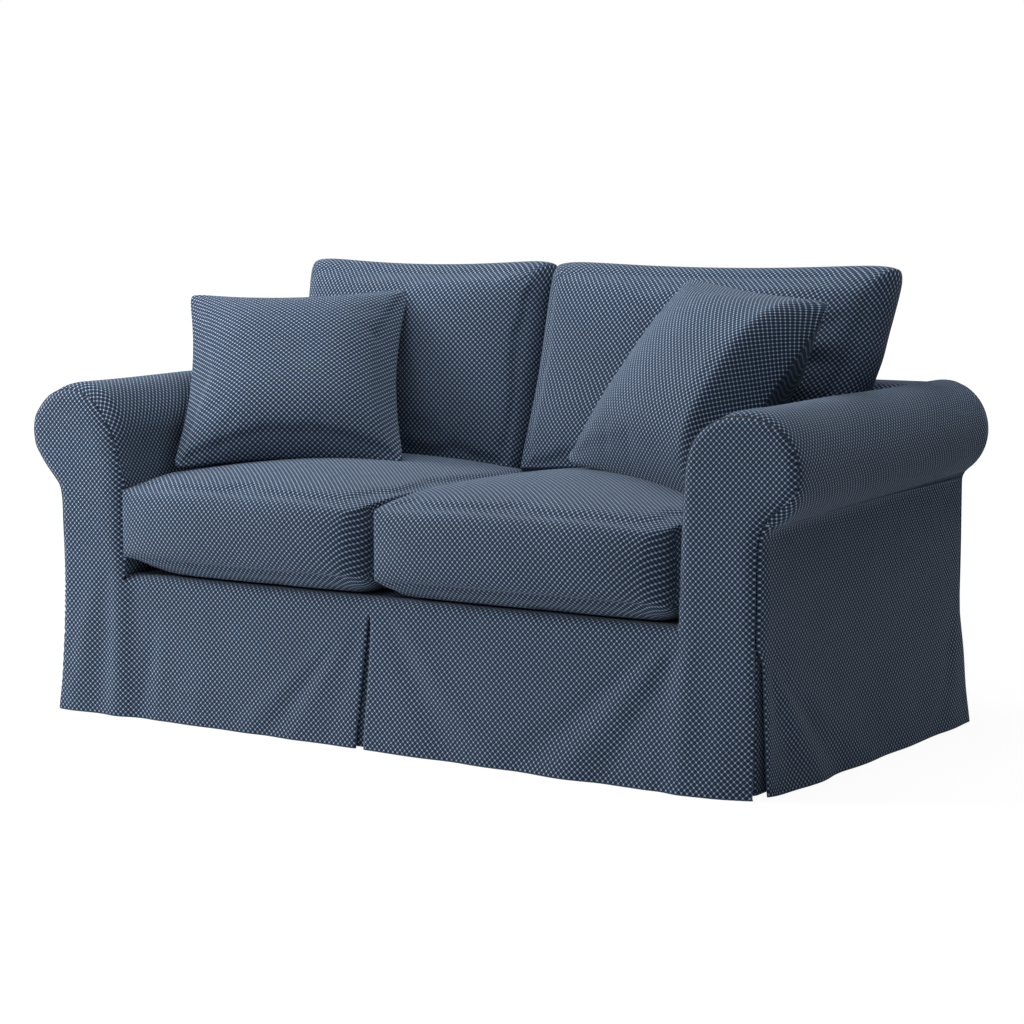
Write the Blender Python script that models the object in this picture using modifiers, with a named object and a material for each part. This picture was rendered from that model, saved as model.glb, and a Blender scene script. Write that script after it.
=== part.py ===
"""Slipcover for a two-seat roll-arm sofa, with its seat, back and throw cushions.

The cover hangs on a sofa that is not part of the model, so it is a hollow shell of
sewn cloth panels. X runs along the sofa, Y from front to back and Z up. The origin
is on the floor, under the middle of the cover. Run with: blender --background --python part.py
"""
import math

import bmesh
import bpy
from mathutils import Matrix, Vector

# ---------------------------------------------------------------- driving sizes (m)
CLOTH = 0.003            # thickness of one layer of cover, with its turnings
GAP = 0.0003             # clearance between pieces that touch

FRONT_Y = -0.4215        # outer face of the arm fronts and the front border
BACK_Y = FRONT_Y + 0.856         # outer face of the outside back
SIDE_X = 0.787           # outer face of the outside arms
ARM_INNER_X = 0.632      # seat side of each arm
SEAT_X = ARM_INNER_X - GAP

ROLL_X = 0.753           # centre line of the arm rolls, at the front
ROLL_Z = 0.562           # height of that line, at the front
ROLL_R = 0.106           # radius of the rolls, at the front
ROLL_RISE = 0.018        # how much higher the centre line is at the back,
ROLL_CLOSER = 0.008      # how much nearer the middle of the sofa,
ROLL_TAPER = 0.011       # and how much smaller the radius is there
ROLL_LAST = (-62, -74)           # where the roll cloth stops, under the roll, degrees
ROLL_TURNS = (8, 24, 38, 50, 61, 71, 80)   # facets of a roll above its centre line, degrees
UNDER_TURNS = (-10, -28, -48)    # facets below it; the last runs into the neck
UNDERCUT = math.radians(-UNDER_TURNS[-1])
NECK_Z = 0.452           # outside of the arm front, below the roll
HEM_Z = 0.001            # the hem just clears the floor
LEAN_Z = 0.40            # above this the seat side of the arm leans outwards
LEAN_SHARES = (0.0, 0.34, 0.68)  # facets of that lean, up to the roll's centre line

DECK_Z = 0.284           # top of the seat deck
NOSE_R = 0.022           # rounding of the front border over the seat rail
NOSE_BACK = 0.050        # how far back the front border reaches
PLEAT_Z = 0.255          # top of the kick pleats, where the skirt starts to flare
FLARE_POWER = 1.15       # how the skirt's stand-out grows from there to the hem
PLEAT_FOOT_Z = 0.003     # foot of the cloth behind the slits

BACK_FOOT_Y = FRONT_Y + 0.670    # inside back, where it meets the deck
BACK_HEAD_Y = FRONT_Y + 0.715    # inside back, below its top rounding
BACK_TOP_Z = 0.670       # top of the inside back
BACK_ROLL_R = 0.045      # rounding along the top of the inside back

WELT_R = 0.002           # piping round the arm fronts
WELT_SET = 0.001         # how far its line stands in from the corner it covers
WELT_IN = WELT_R + WELT_SET + GAP        # how far panels stand back to make room for it
WELT_LEVELS = (DECK_Z + 0.006, 0.330, LEAN_Z, NECK_Z, 0.485, 0.514, 0.544)

# How far the hem stands out from the wall above it, at each place along it.
HEM_OUT_FRONT = (        # x, out
    (-0.787, 0.008), (-0.620, 0.012), (-0.300, 0.019), (0.000, 0.028), (0.170, 0.034),
    (0.430, 0.040), (0.600, 0.040), (0.710, 0.033), (0.787, 0.008))
HEM_OUT_SIDE = (         # behind_front, out
    (0.000, 0.008), (0.078, 0.020), (0.308, 0.026), (0.568, 0.028), (0.728, 0.027),
    (0.856, 0.018))
HEM_OUT_BACK = (         # x, out
    (-0.787, 0.024), (-0.400, 0.032), (0.000, 0.034), (0.400, 0.032), (0.787, 0.024))

CORNER_TUCK = 0.020      # how far a hem's front corner is rounded off, along the side

# The slit in the middle of the front skirt, and the cloth behind it.
SLIT_FOOT_X = -0.043
SLIT_HEAD_X = -0.036
SLIT_HALF = 0.0085
SLIT_PLEAT_X = (-0.125, 0.040)

# The slits at the four corners.
PLEAT_WING = 0.070       # how far the cloth behind reaches from the corner
PLEAT_TURN = 0.014       # where it starts to turn the corner
PLEAT_BEND = 0.004       # rounding of the corner itself

# Soft upright folds below the ends of the seat rail.
FOLDS = (                # x, half_width, out
    (-0.632, 0.045, 0.007), (-0.545, 0.035, -0.003), (0.390, 0.060, 0.003),
    (0.632, 0.045, 0.008))

# Seat cushions: box cushions whose corners stay low while the rest is filled out.
SEAT_FRONT_Y = FRONT_Y - 0.0125  # front corners
SEAT_REAR_Y = BACK_FOOT_Y - 0.0095       # rear corners, near the inside back
SEAT_CUSHIONS = (        # name, x_left, x_right, z_under_corner, z_over_corner
    ("seat_cushion_left", -0.6290, -0.0185, 0.3213, 0.4530),
    ("seat_cushion_right", -0.0180, 0.6290, 0.3213, 0.4530))
SEAT_EDGE_UP = 0.022     # how far the top edges rise between corners
SEAT_EDGE_DOWN = 0.027   # how far the bottom edges sag between corners
SEAT_CROWN = 0.034       # further rise of the top's middle
SEAT_SAG = 0.010         # further sag of the underside's middle
SEAT_BELLY = 0.030       # how far the front bulges out
SEAT_BELLY_FADE = 0.6    # share of that which is gone at the top and bottom edges

# Back cushions lean on the inside back, and spread where they clear the arms.
BACK_FOOT = (FRONT_Y + 0.6025, 0.4875)   # y and z of the middle of the bottom side
BACK_HEAD = (FRONT_Y + 0.6975, 0.8960)   # y and z of the middle of the top side
BACK_RIM = 0.100         # thickness at the edges
BACK_CROWN = 0.040       # further thickness in the middle, on the front
BACK_ROUND = 0.022       # rounding of the edges
BACK_EARS = 0.008        # how far the top corners stand above the middle of the top
BACK_FULL = 0.7          # power of the dome: less is flatter in the middle
BACK_CUSHIONS = (        # name, forward, rear crown, edges
    ("back_cushion_left", 0.0000, 0.0270, (      # up, x_left, x_right
        (0.00, -0.6270, -0.0480), (0.25, -0.6290, -0.0440), (0.42, -0.6540, -0.0440),
        (0.52, -0.6680, -0.0460), (1.00, -0.6850, -0.0600))),
    ("back_cushion_right", 0.0100, 0.0367, (
        (0.00, -0.0470, 0.6270), (0.25, -0.0430, 0.6290), (0.42, -0.0430, 0.6600),
        (0.52, -0.0450, 0.6960), (0.70, -0.0500, 0.7120), (1.00, -0.0590, 0.7220))))

# Throw pillows: knife-edged squares, turned and leaning.
PILLOW_RIM = 0.006       # the seam allowance inside the edge
PILLOW_DRAWN = 0.020     # how far the middle of each side is drawn in
PILLOW_EDGE = 2.2        # powers of the dome: how far it keeps full to the edge,
PILLOW_FULL = 0.85       # and how flat it is in the middle
PILLOWS = (              # name, middle, (lean, turn, roll) degrees, side, front and rear crown
    ("pillow_left", (-0.4600, -0.0840, 0.6658), (46.5, 30.1, 1.9), 0.463, (0.070, 0.055)),
    ("pillow_right", (0.4400, -0.0490, 0.6781), (54.0, -25.1, -4.1), 0.446, (0.066, 0.055)))

# Facets.
CUTS_FILLED = (9, 9, 3)  # cuts of a cushion's starting box along width, depth and rim
CUTS_PILLOW = (9, 9, 0)
CUTS_DRAWN = 0.4         # how far the cuts are drawn towards the edges
SKIRT_ROWS = 5
ARM_COLUMNS = 6
BORDER_COLUMNS = 17
SIDE_COLUMNS = 9

# ---------------------------------------------------------------- small helpers


def along(table, at):
    """Value of a two-column table at a place, eased between its rows."""
    if at <= table[0][0]:
        return table[0][1]
    for (x0, v0), (x1, v1) in zip(table, table[1:]):
        if at <= x1:
            share = (at - x0) / (x1 - x0)
            ease = share * share * (3.0 - 2.0 * share)
            return v0 + (v1 - v0) * (0.5 * share + 0.5 * ease)
    return table[-1][1]


def spread(start, end, count):
    """Evenly spaced numbers from start to end, both included."""
    return [start + (end - start) * step / (count - 1) for step in range(count)]


def flare(z):
    """Share of the hem's stand-out that a height has: none above the pleats."""
    if z >= PLEAT_Z:
        return 0.0
    return (1.0 - z / PLEAT_Z) ** FLARE_POWER


def fold(x, z):
    """Soft upright folds of the front skirt, fading out towards the seat rail."""
    fade = min(1.0, max(0.0, (DECK_Z - z) / 0.12))
    total = 0.0
    for place, half_width, out in FOLDS:
        total += out * math.exp(-((x - place) / half_width) ** 2)
    return total * fade


def roll_at(y, inset=0.0):
    """Centre (x, z) and radius of an arm roll at a place between front and back."""
    share = (y - FRONT_Y) / (BACK_Y - FRONT_Y)
    radius = ROLL_R - ROLL_TAPER * share - inset
    return ROLL_X - ROLL_CLOSER * share, ROLL_Z + ROLL_RISE * share, radius


def arm_inner(z, y=FRONT_Y, inset=0.0):
    """Seat side of the arm at a height: upright, leaning out, then the roll."""
    roll_x, roll_z, radius = roll_at(y, inset)
    if z <= LEAN_Z:
        return ARM_INNER_X + inset
    if z >= roll_z:
        height = min(z - roll_z, radius)
        return roll_x - math.sqrt(radius ** 2 - height ** 2)
    share = (z - LEAN_Z) / (roll_z - LEAN_Z)
    lean = share * share * (3.0 - 2.0 * share)
    return ARM_INNER_X + inset + (roll_x - radius - inset - ARM_INNER_X) * lean


def arm_outer(z, y=FRONT_Y, inset=0.0):
    """Outside of the arm's end at a height: upright, the neck, then the roll."""
    roll_x, roll_z, radius = roll_at(y, inset)
    neck_z = NECK_Z + roll_z - ROLL_Z
    join_z = roll_z - radius * math.sin(UNDERCUT)
    join_x = roll_x + radius * math.cos(UNDERCUT)
    if z <= neck_z:
        return SIDE_X
    if z >= join_z:
        height = min(abs(z - roll_z), radius)
        return roll_x + math.sqrt(radius ** 2 - height ** 2)
    share = (z - neck_z) / (join_z - neck_z)
    return SIDE_X + (join_x - SIDE_X) * share ** 1.8


def arm_levels(y=FRONT_Y, inset=0.0):
    """Heights of the cross-sections of an arm's end, from its hem to its top."""
    roll_x, roll_z, radius = roll_at(y, inset)
    skirt = spread(HEM_Z, PLEAT_Z, SKIRT_ROWS)
    neck_z = NECK_Z + roll_z - ROLL_Z
    wall = [DECK_Z, DECK_Z + 0.003, 0.330, LEAN_Z, neck_z, neck_z + 0.014]
    turns = UNDER_TURNS[::-1] + ROLL_TURNS
    return skirt + wall + [roll_z + radius * math.sin(math.radians(turn)) for turn in turns]


def lean_points(y, inset=0.0):
    """Points (x, z) of the arm's seat side where it leans out to meet its roll."""
    roll_z = roll_at(y)[1]
    heights = [LEAN_Z + (roll_z - LEAN_Z) * share for share in LEAN_SHARES]
    return [(arm_inner(z, y, inset), z) for z in heights]


def roll_points(y, inset=0.0, last_turns=()):
    """Points (x, z) round an arm roll, from its seat side over the top and under."""
    roll_x, roll_z, radius = roll_at(y, inset)
    inner = [180.0 - turn for turn in (0,) + ROLL_TURNS]
    outer = list(ROLL_TURNS[::-1] + UNDER_TURNS + last_turns)
    points = []
    for turn in inner + [90.0] + outer:
        angle = math.radians(turn)
        points.append((roll_x + radius * math.cos(angle), roll_z + radius * math.sin(angle)))
    return points


def back_face_y(z):
    """Place of the inside back's face at a height, up to its top rounding."""
    corner_z = BACK_TOP_Z - BACK_ROLL_R
    if z <= corner_z:
        return BACK_FOOT_Y + (BACK_HEAD_Y - BACK_FOOT_Y) * (z - DECK_Z) / (corner_z - DECK_Z)
    reach = min(z - corner_z, BACK_ROLL_R)
    return BACK_HEAD_Y + BACK_ROLL_R - math.sqrt(BACK_ROLL_R ** 2 - reach ** 2)


# ---------------------------------------------------------------- building blocks


def new_collection(name):
    """Add a collection to the scene."""
    group = bpy.data.collections.new(name)
    bpy.context.scene.collection.children.link(group)
    return group


def make_material(name, colour, roughness):
    """Plain cloth material for one piece."""
    material = bpy.data.materials.new(name)
    material.use_nodes = True
    shader = material.node_tree.nodes["Principled BSDF"]
    shader.inputs["Base Color"].default_value = (*colour, 1.0)
    shader.inputs["Roughness"].default_value = roughness
    shader.inputs["Metallic"].default_value = 0.0
    shader.inputs["Sheen Weight"].default_value = 0.2
    return material


def place(name, mesh, group, colour):
    """Make an object of a mesh, with its own material, in a collection."""
    piece = bpy.data.objects.new(name, mesh)
    mesh.materials.append(make_material(name + "_cloth", colour, 0.9))
    group.objects.link(piece)
    return piece


def loft(name, sections, group, colour, flip=False):
    """Cloth sheet through rows of points, given thickness away from its outer face."""
    mesh = bpy.data.meshes.new(name)
    work = bmesh.new()
    rows = [[work.verts.new(point) for point in section] for section in sections]
    for lower, upper in zip(rows, rows[1:]):
        for step in range(len(lower) - 1):
            corners = [lower[step], lower[step + 1], upper[step + 1], upper[step]]
            work.faces.new(reversed(corners) if flip else corners)
    work.to_mesh(mesh)
    work.free()
    mesh.shade_smooth()
    piece = place(name, mesh, group, colour)
    solid = piece.modifiers.new("Cloth thickness", "SOLIDIFY")
    solid.thickness = CLOTH
    solid.offset = -1.0
    solid.use_even_offset = True
    return piece


def cord(name, points, group, colour):
    """Round piping along a line of points, with closed ends."""
    curve = bpy.data.curves.new(name, "CURVE")
    curve.dimensions = "3D"
    curve.bevel_depth = WELT_R
    curve.bevel_resolution = 1
    curve.use_fill_caps = True
    line = curve.splines.new("POLY")
    line.points.add(len(points) - 1)
    for spot, point in zip(line.points, points):
        spot.co = (*point, 1.0)
    curve.materials.append(make_material(name + "_cloth", colour, 0.9))
    piece = bpy.data.objects.new(name, curve)
    group.objects.link(piece)
    return piece


def split_slit(piece, group):
    """Cut an upright slit, closed at the top of the pleats, into the front panel."""
    reach = 0.03
    left_foot = (SLIT_FOOT_X - SLIT_HALF, -reach)
    right_foot = (SLIT_FOOT_X + SLIT_HALF, -reach)
    corners = ((SLIT_HEAD_X, PLEAT_Z), left_foot, right_foot)
    mesh = bpy.data.meshes.new(piece.name + "_slit")
    work = bmesh.new()
    face = work.faces.new([work.verts.new((x, FRONT_Y - 3.0 * reach, z)) for x, z in corners])
    pushed = bmesh.ops.extrude_face_region(work, geom=[face])
    moved = [item for item in pushed["geom"] if isinstance(item, bmesh.types.BMVert)]
    bmesh.ops.translate(work, verts=moved, vec=(0.0, 5.0 * reach, 0.0))
    bmesh.ops.recalc_face_normals(work, faces=work.faces)
    work.to_mesh(mesh)
    work.free()
    wedge = bpy.data.objects.new(piece.name + "_slit", mesh)
    wedge.hide_render = True
    wedge.display_type = "WIRE"
    group.objects.link(wedge)
    cut = piece.modifiers.new("Slit", "BOOLEAN")
    cut.operation = "DIFFERENCE"
    cut.object = wedge


def filled(name, shape, cuts, group, colour):
    """Filled cushion: a finely cut box whose points (-1 to 1) a shape function places."""
    mesh = bpy.data.meshes.new(name)
    work = bmesh.new()
    bmesh.ops.create_cube(work, size=2.0)
    for axis in range(3):
        if cuts[axis]:
            lined = [edge for edge in work.edges if runs_along(edge, axis)]
            bmesh.ops.subdivide_edges(work, edges=lined, cuts=cuts[axis], use_grid_fill=True)
    for vert in work.verts:
        drawn = [math.sin(share * math.pi / 2.0) for share in vert.co]
        vert.co = shape(*(share + CUTS_DRAWN * (far - share) for share, far in zip(vert.co, drawn)))
    bmesh.ops.recalc_face_normals(work, faces=work.faces)
    work.to_mesh(mesh)
    work.free()
    mesh.shade_smooth()
    return place(name, mesh, group, colour)


def runs_along(edge, axis):
    """True where an edge of the starting box runs along one axis."""
    run = edge.verts[1].co - edge.verts[0].co
    return abs(run[axis]) > 0.9 * run.length


# ---------------------------------------------------------------- the cover's pieces


def arm_front(name, side, group, colour):
    """Front of one arm, from the hem to the top of its roll, side is 1 or -1."""
    sections = []
    for z in arm_levels(inset=WELT_IN):
        x_in = arm_inner(z, inset=WELT_IN if z > DECK_Z else 2.0 * GAP)
        x_out = arm_outer(z, inset=WELT_IN)
        section = []
        for x in spread(x_in, x_out, ARM_COLUMNS):
            out = along(HEM_OUT_FRONT, side * x) * flare(z) + fold(side * x, z)
            section.append(Vector((side * x, FRONT_Y - out, z)))
        sections.append(section)
    return loft(name, sections, group, colour, flip=side < 0)


def front_border(group, colour):
    """Front of the seat rail and skirt, rolled back over the rail to the deck."""
    profile = [(0.0, z) for z in spread(HEM_Z, PLEAT_Z, SKIRT_ROWS)]
    for turn in spread(180.0, 90.0, 4):
        angle = math.radians(turn)
        profile.append((NOSE_R * (1.0 + math.cos(angle)), DECK_Z - NOSE_R + NOSE_R * math.sin(angle)))
    profile.append((NOSE_BACK, DECK_Z))
    sections = []
    for depth, z in profile:
        section = []
        for x in spread(-SEAT_X, SEAT_X, BORDER_COLUMNS):
            out = along(HEM_OUT_FRONT, x) * flare(z) + fold(x, z)
            section.append(Vector((x, FRONT_Y + depth - out, z)))
        sections.append(section)
    return loft("front_border", sections, group, colour)


def deck(group, colour):
    """Flat cloth under the seat cushions."""
    sections = []
    for y in (FRONT_Y + NOSE_BACK + GAP, BACK_FOOT_Y + CLOTH):
        sections.append([Vector((x, y, DECK_Z)) for x in (-SEAT_X, 0.0, SEAT_X)])
    return loft("deck", sections, group, colour)


def inside_back(group, colour):
    """Cloth up the inside of the back and over its top to the back seam."""
    rows = [(ARM_INNER_X, BACK_FOOT_Y, DECK_Z + 3.0 * GAP)]
    crest = BACK_TOP_Z - BACK_ROLL_R
    for facet in range(len(LEAN_SHARES) + 6):
        y = back_face_y(crest)
        x, z = (lean_points(y) + roll_points(y))[facet]
        y = back_face_y(z)
        x, z = (lean_points(y) + roll_points(y))[facet]
        if z < BACK_TOP_Z - CLOTH:
            rows.append((arm_inner(z - CLOTH, y) if z > crest - CLOTH else x, y, z))
    for y in (BACK_HEAD_Y + BACK_ROLL_R, BACK_Y - CLOTH - GAP):
        rows.append((arm_inner(BACK_TOP_Z - CLOTH, y), y, BACK_TOP_Z))
    sections = []
    for half, y, z in rows:
        sections.append([Vector((x, y, z)) for x in spread(2.0 * GAP - half, half - 2.0 * GAP, 5)])
    return loft("inside_back", sections, group, colour)


def outside_back(group, colour):
    """Whole back of the cover, from the hem to the top, with both roll ends."""
    roll_x, roll_z, radius = roll_at(BACK_Y)
    levels = arm_levels(BACK_Y)[:-1]
    half = arm_outer(levels[-1], BACK_Y)
    near = roll_x / half
    shares = (-1.0, -near, 1.0 - 2.0 * near, -0.6, -0.2, 0.2, 0.6, 2.0 * near - 1.0, near, 1.0)
    sections = []
    for z in levels[:-1]:
        half = arm_outer(z, BACK_Y)
        section = []
        for share in shares:
            x = share * half
            out = along(HEM_OUT_BACK, x) * flare(z)
            section.append(Vector((x, BACK_Y + out, z)))
        sections.append(section)
    half = arm_outer(levels[-1], BACK_Y)
    top = []
    for share in shares:
        x = share * half
        reach = min(abs(abs(x) - roll_x), radius)
        over_roll = roll_z + math.sqrt(radius ** 2 - reach ** 2)
        top.append(Vector((x, BACK_Y, max(BACK_TOP_Z, over_roll))))
    sections.append(top)
    return loft("outside_back", sections, group, colour, flip=True)


def arm_panel(name, side, group, colour):
    """Cloth up the seat side of one arm, over its roll and under to the outer seam."""
    sections = []
    for y in spread(FRONT_Y + WELT_IN, BACK_Y - CLOTH - GAP, 3):
        profile = [(ARM_INNER_X, DECK_Z - CLOTH)] + lean_points(y) + roll_points(y, 0.0, ROLL_LAST)
        sections.append([Vector((side * x, y, z)) for x, z in profile])
    return loft(name, sections, group, colour, flip=side < 0)


def outside_arm(name, side, group, colour):
    """Outside of one arm, from the seam under its roll down to the hem."""
    sections = []
    for level in spread(HEM_Z, PLEAT_Z, SKIRT_ROWS) + [0.360, 1.0]:
        section = []
        for y in spread(FRONT_Y + CLOTH + GAP, BACK_Y - CLOTH - GAP, SIDE_COLUMNS):
            z = min(level, roll_points(y, 0.0, ROLL_LAST)[-1][1] - 2.0 * GAP)
            tuck = CORNER_TUCK * flare(z) * math.exp(-((y - FRONT_Y) / CORNER_TUCK) ** 2)
            out = along(HEM_OUT_SIDE, y - FRONT_Y) * flare(z)
            section.append(Vector((side * (SIDE_X + out), y + tuck, z)))
        sections.append(section)
    return loft(name, sections, group, colour, flip=side < 0)


def corner_pleat(name, side, end, group, colour):
    """Cloth folded behind the slit at one corner, side and end are 1 or -1."""
    face_y = FRONT_Y if end < 0 else BACK_Y
    x = SIDE_X - CLOTH - GAP
    y = face_y - end * (CLOTH + GAP)
    outline = (
        (PLEAT_WING, 0.0), (PLEAT_TURN, 0.0), (PLEAT_BEND, PLEAT_BEND),
        (0.0, PLEAT_TURN), (0.0, PLEAT_WING))
    sections = []
    for z in (PLEAT_FOOT_Z, PLEAT_Z + 0.012):
        section = []
        for dx, dy in outline:
            section.append(Vector((side * (x - dx), y - end * dy, z)))
        sections.append(section)
    return loft(name, sections, group, colour, flip=side * end > 0)


def centre_pleat(group, colour):
    """Cloth behind the slit in the middle of the front skirt."""
    sections = []
    for z in (PLEAT_FOOT_Z, 0.090, 0.180, PLEAT_Z + 0.005):
        section = []
        for x in spread(*SLIT_PLEAT_X, 4):
            out = along(HEM_OUT_FRONT, x) * flare(z) + fold(x, z)
            section.append(Vector((x, FRONT_Y + CLOTH + 3.0 * GAP - out, z)))
        sections.append(section)
    return loft("pleat_centre", sections, group, colour)


def arm_welt(name, side, group, colour):
    """Piping round one arm front, from the seat rail over the roll to its neck."""
    outline = [(arm_inner(z, inset=WELT_SET), z) for z in WELT_LEVELS]
    outline += roll_points(FRONT_Y, WELT_SET)
    points = [(side * x, FRONT_Y + WELT_SET, z) for x, z in outline]
    return cord(name, points, group, colour)


def seat_cushion(name, x_left, x_right, z_under, z_over, group, colour):
    """Box cushion of the seat, with low crisp corners and a full crown."""
    middle_x = (x_left + x_right) / 2.0
    middle_y = (SEAT_FRONT_Y + SEAT_REAR_Y) / 2.0
    middle_z = (z_under + z_over) / 2.0

    def shape(a, b, c):
        off_corner = 1.0 - (abs(a) * abs(b)) ** 4
        dome = (1.0 - a * a) * (1.0 - b * b)
        lift = SEAT_EDGE_UP * off_corner + SEAT_CROWN * dome
        drop = SEAT_EDGE_DOWN * off_corner + SEAT_SAG * dome
        belly = SEAT_BELLY * (1.0 - a ** 4) * (1.0 - SEAT_BELLY_FADE * c * c) if b < 0.0 else 0.0
        x = middle_x + a * (x_right - x_left) / 2.0
        y = middle_y + b * ((SEAT_REAR_Y - SEAT_FRONT_Y) / 2.0 + belly)
        z = middle_z + c * ((z_over - z_under) / 2.0 + (lift if c > 0.0 else drop))
        return Vector((x, y, z))

    return filled(name, shape, CUTS_FILLED, group, colour)


def back_cushion(name, forward, rear_crown, edges, group, colour):
    """Loose cushion leaning on the inside back, wider above the arms."""
    lefts = [(row[0], row[1]) for row in edges]
    rights = [(row[0], row[2]) for row in edges]
    run = Vector((0.0, BACK_HEAD[0] - BACK_FOOT[0], BACK_HEAD[1] - BACK_FOOT[1]))
    front = Vector((0.0, -run.z, run.y)).normalized()
    foot = Vector((0.0, BACK_FOOT[0] - forward, BACK_FOOT[1]))

    def shape(a, b, c):
        up = (b + 1.0) / 2.0
        x_left = along(lefts, up)
        x_right = along(rights, up)
        dome = ((1.0 - a ** 4) * (1.0 - b ** 4)) ** BACK_FULL
        crown = BACK_CROWN if c > 0.0 else rear_crown
        half = (x_right - x_left) / 2.0 - BACK_ROUND * c * c * abs(a) ** 6
        x = (x_left + x_right) / 2.0 + a * half
        ears = BACK_EARS * (a * a - 1.0) if b > 0.0 else 0.0
        pulled = BACK_ROUND * c * c * abs(b) ** 6 * math.copysign(1.0, b)
        place_up = up + (ears * up - pulled) / run.length
        spot = foot + run * place_up + front * (c * (BACK_RIM / 2.0 + crown * dome))
        return Vector((x, spot.y, spot.z))

    return filled(name, shape, CUTS_FILLED, group, colour)


def pillow(name, middle, angles, size, crowns, group, colour):
    """Knife-edged throw pillow, crowned on both faces, its sides drawn in."""
    lean, turn, roll = (math.radians(angle) for angle in angles)
    stand = Matrix.Rotation(turn, 4, "Z") @ Matrix.Rotation(lean, 4, "X") @ Matrix.Rotation(roll, 4, "Z")

    def shape(a, b, c):
        dome = ((1.0 - abs(a) ** PILLOW_EDGE) * (1.0 - abs(b) ** PILLOW_EDGE)) ** PILLOW_FULL
        x = a * (size / 2.0 - PILLOW_DRAWN * (1.0 - b * b))
        y = b * (size / 2.0 - PILLOW_DRAWN * (1.0 - a * a))
        z = c * (PILLOW_RIM / 2.0 + (crowns[0] if c > 0.0 else crowns[1]) * dome)
        return Vector((x, y, z))

    piece = filled(name, shape, CUTS_PILLOW, group, colour)
    piece.matrix_world = Matrix.Translation(middle) @ stand
    return piece


def main():
    """Clear the scene and build every piece of the cover."""
    for old in list(bpy.data.objects):
        bpy.data.objects.remove(old, do_unlink=True)
    cover = new_collection("sofa_slipcover")
    cutters = new_collection("cutters")
    face = (0.075, 0.105, 0.165)
    side_face = (0.065, 0.092, 0.145)
    inner = (0.060, 0.085, 0.140)
    full = (0.085, 0.118, 0.185)
    deck(cover, inner)
    border = front_border(cover, face)
    split_slit(border, cutters)
    inside_back(cover, inner)
    outside_back(cover, side_face)
    centre_pleat(cover, inner)
    for word, side in (("left", -1), ("right", 1)):
        arm_front("arm_front_" + word, side, cover, face)
        arm_panel("arm_panel_" + word, side, cover, side_face)
        outside_arm("outside_arm_" + word, side, cover, side_face)
        arm_welt("welt_" + word, side, cover, inner)
        corner_pleat("pleat_front_" + word, side, -1, cover, inner)
        corner_pleat("pleat_back_" + word, side, 1, cover, inner)
    for row in SEAT_CUSHIONS:
        seat_cushion(*row, cover, full)
    for row in BACK_CUSHIONS:
        back_cushion(*row, cover, full)
    for row in PILLOWS:
        pillow(*row, cover, full)


main()
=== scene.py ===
"""Looks of a two-seat sofa's slipcover set: cover, seat and back cushions, throw pillows.

Every piece is a surface worked out with numpy on a grid of two parameters, in metres, in the
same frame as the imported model: X to the right, Y from front to back, Z up, origin on the floor.
"""
import math

import bpy
import numpy as np
from mathutils import Matrix, Vector


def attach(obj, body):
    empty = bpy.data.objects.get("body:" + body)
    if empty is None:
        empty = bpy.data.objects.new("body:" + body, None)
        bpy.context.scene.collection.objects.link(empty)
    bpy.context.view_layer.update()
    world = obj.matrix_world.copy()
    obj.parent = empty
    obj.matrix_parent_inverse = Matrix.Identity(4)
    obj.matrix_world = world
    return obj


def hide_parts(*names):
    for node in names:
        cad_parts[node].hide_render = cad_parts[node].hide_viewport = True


bl_info = {
    "name": "Sofa slipcover set",
    "version": (1, 0, 0),
    "blender": (4, 5, 0),
    "location": "View3D > Sidebar > Slipcover",
    "description": "Builds the cloth pieces of a sofa's slipcover, its cushions and its stage",
    "category": "Object",
}

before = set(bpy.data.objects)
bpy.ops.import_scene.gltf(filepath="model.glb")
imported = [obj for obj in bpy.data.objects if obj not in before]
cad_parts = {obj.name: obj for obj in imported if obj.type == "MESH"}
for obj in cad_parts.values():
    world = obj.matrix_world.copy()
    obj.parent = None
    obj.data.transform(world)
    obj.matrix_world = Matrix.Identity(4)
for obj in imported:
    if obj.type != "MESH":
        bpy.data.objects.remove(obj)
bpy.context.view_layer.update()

# ---------------------------------------------------------------- sizes (m)
FRONT_Y = -0.4215        # outer face of the front
DEPTH = 0.856            # from there to the outer face of the back
BACK_Y = FRONT_Y + DEPTH
SIDE_X = 0.787           # outer face of the outside arms
SIDES = {"left": -1.0, "right": 1.0}
ARM_INNER_X = 0.632      # seat side of each arm
HEM_Z = 0.001
PLEAT_Z = 0.255          # top of the slits in the skirt
DECK_Z = 0.284           # top of the seat deck
NOSE_R = 0.022           # rounding of the front over the seat rail
NOSE_BACK = 0.050
RAIL_Z = DECK_Z - NOSE_R
GAP = 0.0004
CLOTH = 0.0025

ROLL_X, ROLL_Z, ROLL_R = 0.753, 0.562, 0.106     # arm roll, at the front
ROLL_CLOSER, ROLL_RISE, ROLL_TAPER = 0.008, 0.018, 0.011
ARM_DROP = {"left": 0.005, "right": 0.0}         # how much lower an arm's roll lies
ARM_PROUD = 0.012        # how far the padded arm fronts stand before the seat rail
PROUD_IN, PROUD_WIDE = 0.030, 0.055              # how far inside the arm it begins, and its width
SHOULDER = 0.028         # length over which an arm's cloth rounds over to its front
LEAN_Z = 0.40            # above this the seat side of the arm leans outwards
NECK_R = 0.030           # hollow between an arm roll and the wall below it
BACK_FOOT_Y = FRONT_Y + 0.670
BACK_HEAD_Y = FRONT_Y + 0.715
BACK_TOP_Z = 0.670
BACK_ROLL_R = 0.045

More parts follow.
